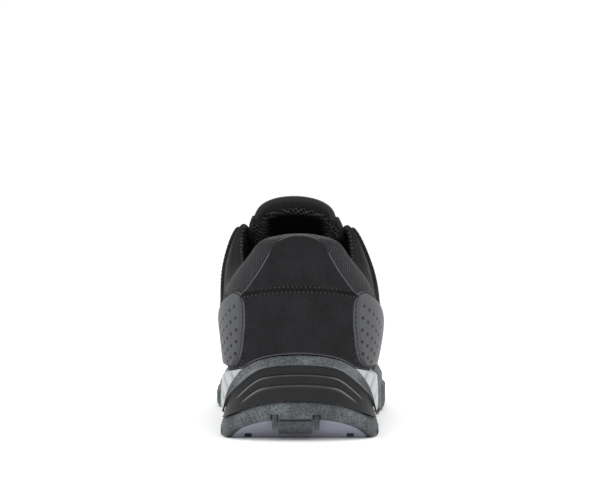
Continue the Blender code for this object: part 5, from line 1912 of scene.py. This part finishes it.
def studio_floor():
    """Seamless white card: flat and evenly matt."""
    made, tree, shader, place = new_finish("white_card", Roughness=0.9, Specular_IOR_Level=0.1)
    fibre = add_node(tree, "ShaderNodeTexNoise", {"Vector": place, "Scale": 90, "Detail": 2})
    base = tuple(colours().floor)
    mixed = add_node(
        tree,
        "ShaderNodeMix",
        {"Factor": fibre.outputs["Fac"], "A": (*share_of(base, 0.995), 1), "B": (*base, 1)},
        data_type="RGBA",
    )
    tree.links.new(mixed.outputs["Result"], shader.inputs["Base Color"])
    return made


# The camera stands behind the heel, a little above the shoe, and looks along +Y
CAMERA_BACK = 0.700
CAMERA_SIDE = 0.0005
CAMERA_HEIGHT = 0.080
CAMERA_PITCH = 1.68
FOCAL_LENGTH = 84.0
SENSOR_WIDTH = 36.0
WORLD_STRENGTH = 1.04

# Soft lights: name, place from the middle of the shoe, width, depth and power in watts
Softbox = namedtuple("Softbox", "name place width depth power")
SOFTBOXES = (
    Softbox("overhead_softbox", (0.0, -0.05, 1.10), 1.2, 1.4, 5.0),
    Softbox("left_softbox", (-1.0, -0.55, 0.55), 0.7, 0.9, 1.6),
    Softbox("right_softbox", (1.0, -0.55, 0.55), 0.7, 0.9, 1.6),
    Softbox("back_softbox", (0.0, 1.10, 0.80), 1.4, 0.8, 2.0),
    Softbox("front_fill", (0.0, -1.30, 0.45), 1.0, 0.6, 1.0),
)


def build_stage():
    """White floor, soft studio lights and the camera."""
    mesh = bpy.data.meshes.new("floor")
    work = bmesh.new()
    bmesh.ops.create_grid(work, x_segments=8, y_segments=8, size=6.0)
    work.to_mesh(mesh)
    work.free()
    mesh.materials.append(studio_floor())
    floor = bpy.data.objects.new("floor", mesh)
    bpy.context.scene.collection.objects.link(floor)
    aim = Vector((0.0, 0.0, 0.05))
    for box_light in SOFTBOXES:
        data = bpy.data.lights.new(box_light.name, "AREA")
        data.shape, data.size, data.size_y = "RECTANGLE", box_light.width, box_light.depth
        data.energy = box_light.power
        lamp = bpy.data.objects.new(box_light.name, data)
        lamp.location = box_light.place
        lamp.rotation_euler = (aim - lamp.location).to_track_quat("-Z", "Y").to_euler()
        bpy.context.scene.collection.objects.link(lamp)
    world = bpy.data.worlds.new("studio")
    world.use_nodes = True
    world.node_tree.nodes["Background"].inputs["Color"].default_value = (1.0, 1.0, 1.0, 1.0)
    world.node_tree.nodes["Background"].inputs["Strength"].default_value = WORLD_STRENGTH
    bpy.context.scene.world = world
    lens = bpy.data.cameras.new("camera")
    lens.lens, lens.sensor_width = FOCAL_LENGTH, SENSOR_WIDTH
    lens.clip_start, lens.clip_end = 0.01, 30.0
    camera = bpy.data.objects.new("camera", lens)
    camera.location = Vector((CAMERA_SIDE, -CAMERA_BACK, CAMERA_HEIGHT)) + Vector(SHIFT)
    camera.rotation_euler = Euler((math.radians(90 + CAMERA_PITCH), 0.0, 0.0))
    bpy.context.scene.collection.objects.link(camera)
    bpy.context.scene.camera = camera
    bpy.context.scene.view_settings.view_transform = "Standard"


class SneakerSizes(bpy.types.PropertyGroup):
    """Sizes of the fine details."""

    stitch_length: FloatProperty(
        name="Stitch length", description="Visible length of one stitch", default=0.0019, unit="LENGTH"
    )
    stitch_gap: FloatProperty(
        name="Stitch gap", description="Gap between two stitches", default=0.0009, unit="LENGTH"
    )
    thread_width: FloatProperty(
        name="Thread width", description="Width of the sewing thread", default=0.0007, unit="LENGTH"
    )
    dimple_width: FloatProperty(
        name="Dimple width", description="Width of a side panel's dimple", default=0.0013, unit="LENGTH"
    )
    dimple_depth: FloatProperty(
        name="Dimple depth", description="Depth of a side panel's dimple", default=0.0009, unit="LENGTH"
    )


def colour_property(name, description, text):
    return FloatVectorProperty(
        name=name, description=description, subtype="COLOR", size=3, min=0, max=1, default=linear(text)
    )


class SneakerColours(bpy.types.PropertyGroup):
    """Base colours of the finishes."""

    nubuck: colour_property("Nubuck", "Heel counter, tab, eyestays and toe cap", "1E1D1F")
    textile: colour_property("Textile", "Air mesh of the quarters and vamp", "262628")
    collar: colour_property("Collar", "Rib knit of the padded collar", "333335")
    strip: colour_property("Strip", "Microfibre strip below the top line", "1D1C1E")
    lining: colour_property("Lining", "Spacer mesh inside the shoe", "080808")
    tongue: colour_property("Tongue", "Binding of the tongue's edge", "262626")
    panel: colour_property("Side panels", "Moulded panels at the heel's sides", "47484B")
    sole: colour_property("Sole", "Grey rubber of the tread and band", "4E5254")
    # The bevel's colour is painted light: paler than the sole's, as if lit from the floor
    bevel: colour_property("Bevel", "Smooth rubber under the back of the heel", "90919D")
    ribs: colour_property("Ribs", "Black rubber of the heel cup", "171718")
    midsole: colour_property("Midsole", "Pale foam of the midsole", "B6BABB")
    lace: colour_property("Lace", "Flat woven lace", "1C1C1D")
    thread: colour_property("Thread", "Sewing thread of the heel seam", "2C2C2E")
    dark_thread: colour_property("Dark thread", "Sewing thread of the other seams", "18181A")
    cord: colour_property("Cord", "Piping along the heel tab", "4C4C4E")
    eyelet: colour_property("Eyelets", "Enamelled eyelet rings", "3C3C3F")
    floor: colour_property("Floor", "Card that the shoe stands on", "FFFFFF")


class BuildUpper(bpy.types.Operator):
    """Builds the mesh shell with its knit collar and lining"""

    bl_idname = "sneaker.upper"
    bl_label = "Build upper"

    def execute(self, context):
        build_upper()
        return {"FINISHED"}


class BuildInsole(bpy.types.Operator):
    """Builds the removable footbed"""

    bl_idname = "sneaker.insole"
    bl_label = "Build insole"

    def execute(self, context):
        build_insole()
        return {"FINISHED"}


class BuildTongue(bpy.types.Operator):
    """Builds the padded tongue"""

    bl_idname = "sneaker.tongue"
    bl_label = "Build tongue"

    def execute(self, context):
        build_tongue()
        return {"FINISHED"}


class BuildHeelPanels(bpy.types.Operator):
    """Builds the nubuck counter and tab with their stitches"""

    bl_idname = "sneaker.heel_panels"
    bl_label = "Build heel panels"

    def execute(self, context):
        build_heel_counter()
        build_heel_tab()
        return {"FINISHED"}


class BuildOverlays(bpy.types.Operator):
    """Builds the side panels, eyestays and toe cap with their stitches"""

    bl_idname = "sneaker.overlays"
    bl_label = "Build overlays"

    def execute(self, context):
        build_overlay_stitches()
        return {"FINISHED"}


class BuildEyelets(bpy.types.Operator):
    """Builds the eyelet rings"""

    bl_idname = "sneaker.eyelets"
    bl_label = "Build eyelets"

    def execute(self, context):
        build_eyelets()
        return {"FINISHED"}


class BuildLace(bpy.types.Operator):
    """Builds the lace through its eyelets"""

    bl_idname = "sneaker.lace"
    bl_label = "Build lace"

    def execute(self, context):
        build_lace()
        return {"FINISHED"}


class BuildMidsole(bpy.types.Operator):
    """Builds the grooved midsole"""

    bl_idname = "sneaker.midsole"
    bl_label = "Build midsole"

    def execute(self, context):
        build_midsole()
        return {"FINISHED"}


class BuildHeelCup(bpy.types.Operator):
    """Builds the ribbed heel cup"""

    bl_idname = "sneaker.heel_cup"
    bl_label = "Build heel cup"

    def execute(self, context):
        build_heel_cup()
        return {"FINISHED"}


class BuildOutsole(bpy.types.Operator):
    """Builds the outsole and the bars in its heel"""

    bl_idname = "sneaker.outsole"
    bl_label = "Build outsole"

    def execute(self, context):
        build_outsole()
        build_heel_bars()
        return {"FINISHED"}


class BuildStage(bpy.types.Operator):
    """Builds the floor, lights and camera"""

    bl_idname = "sneaker.stage"
    bl_label = "Build stage"

    def execute(self, context):
        build_stage()
        return {"FINISHED"}


OPERATORS = (
    BuildUpper,
    BuildInsole,
    BuildTongue,
    BuildHeelPanels,
    BuildOverlays,
    BuildEyelets,
    BuildLace,
    BuildMidsole,
    BuildHeelCup,
    BuildOutsole,
    BuildStage,
)


class SneakerPanel(bpy.types.Panel):
    """Lists the sneaker's sizes, colours and pieces"""

    bl_idname = "VIEW3D_PT_sneaker"
    bl_label = "Safety sneaker"
    bl_space_type = "VIEW_3D"
    bl_region_type = "UI"
    bl_category = "Sneaker"

    def draw(self, context):
        scene = context.scene
        for group in (scene.sneaker_sizes, scene.sneaker_colours):
            box_layout = self.layout.box()
            for name in group.__annotations__:
                box_layout.prop(group, name)
        for operator in OPERATORS:
            self.layout.operator(operator.bl_idname)


CLASSES = (SneakerSizes, SneakerColours, *OPERATORS, SneakerPanel)


def register():
    for each in CLASSES:
        bpy.utils.register_class(each)
    bpy.types.Scene.sneaker_sizes = PointerProperty(type=SneakerSizes)
    bpy.types.Scene.sneaker_colours = PointerProperty(type=SneakerColours)


def unregister():
    del bpy.types.Scene.sneaker_colours
    del bpy.types.Scene.sneaker_sizes
    for each in reversed(CLASSES):
        bpy.utils.unregister_class(each)


def main():
    register()
    for operator in OPERATORS:
        category, name = operator.bl_idname.split(".")
        getattr(getattr(bpy.ops, category), name)()


if __name__ == "__main__":
    main()
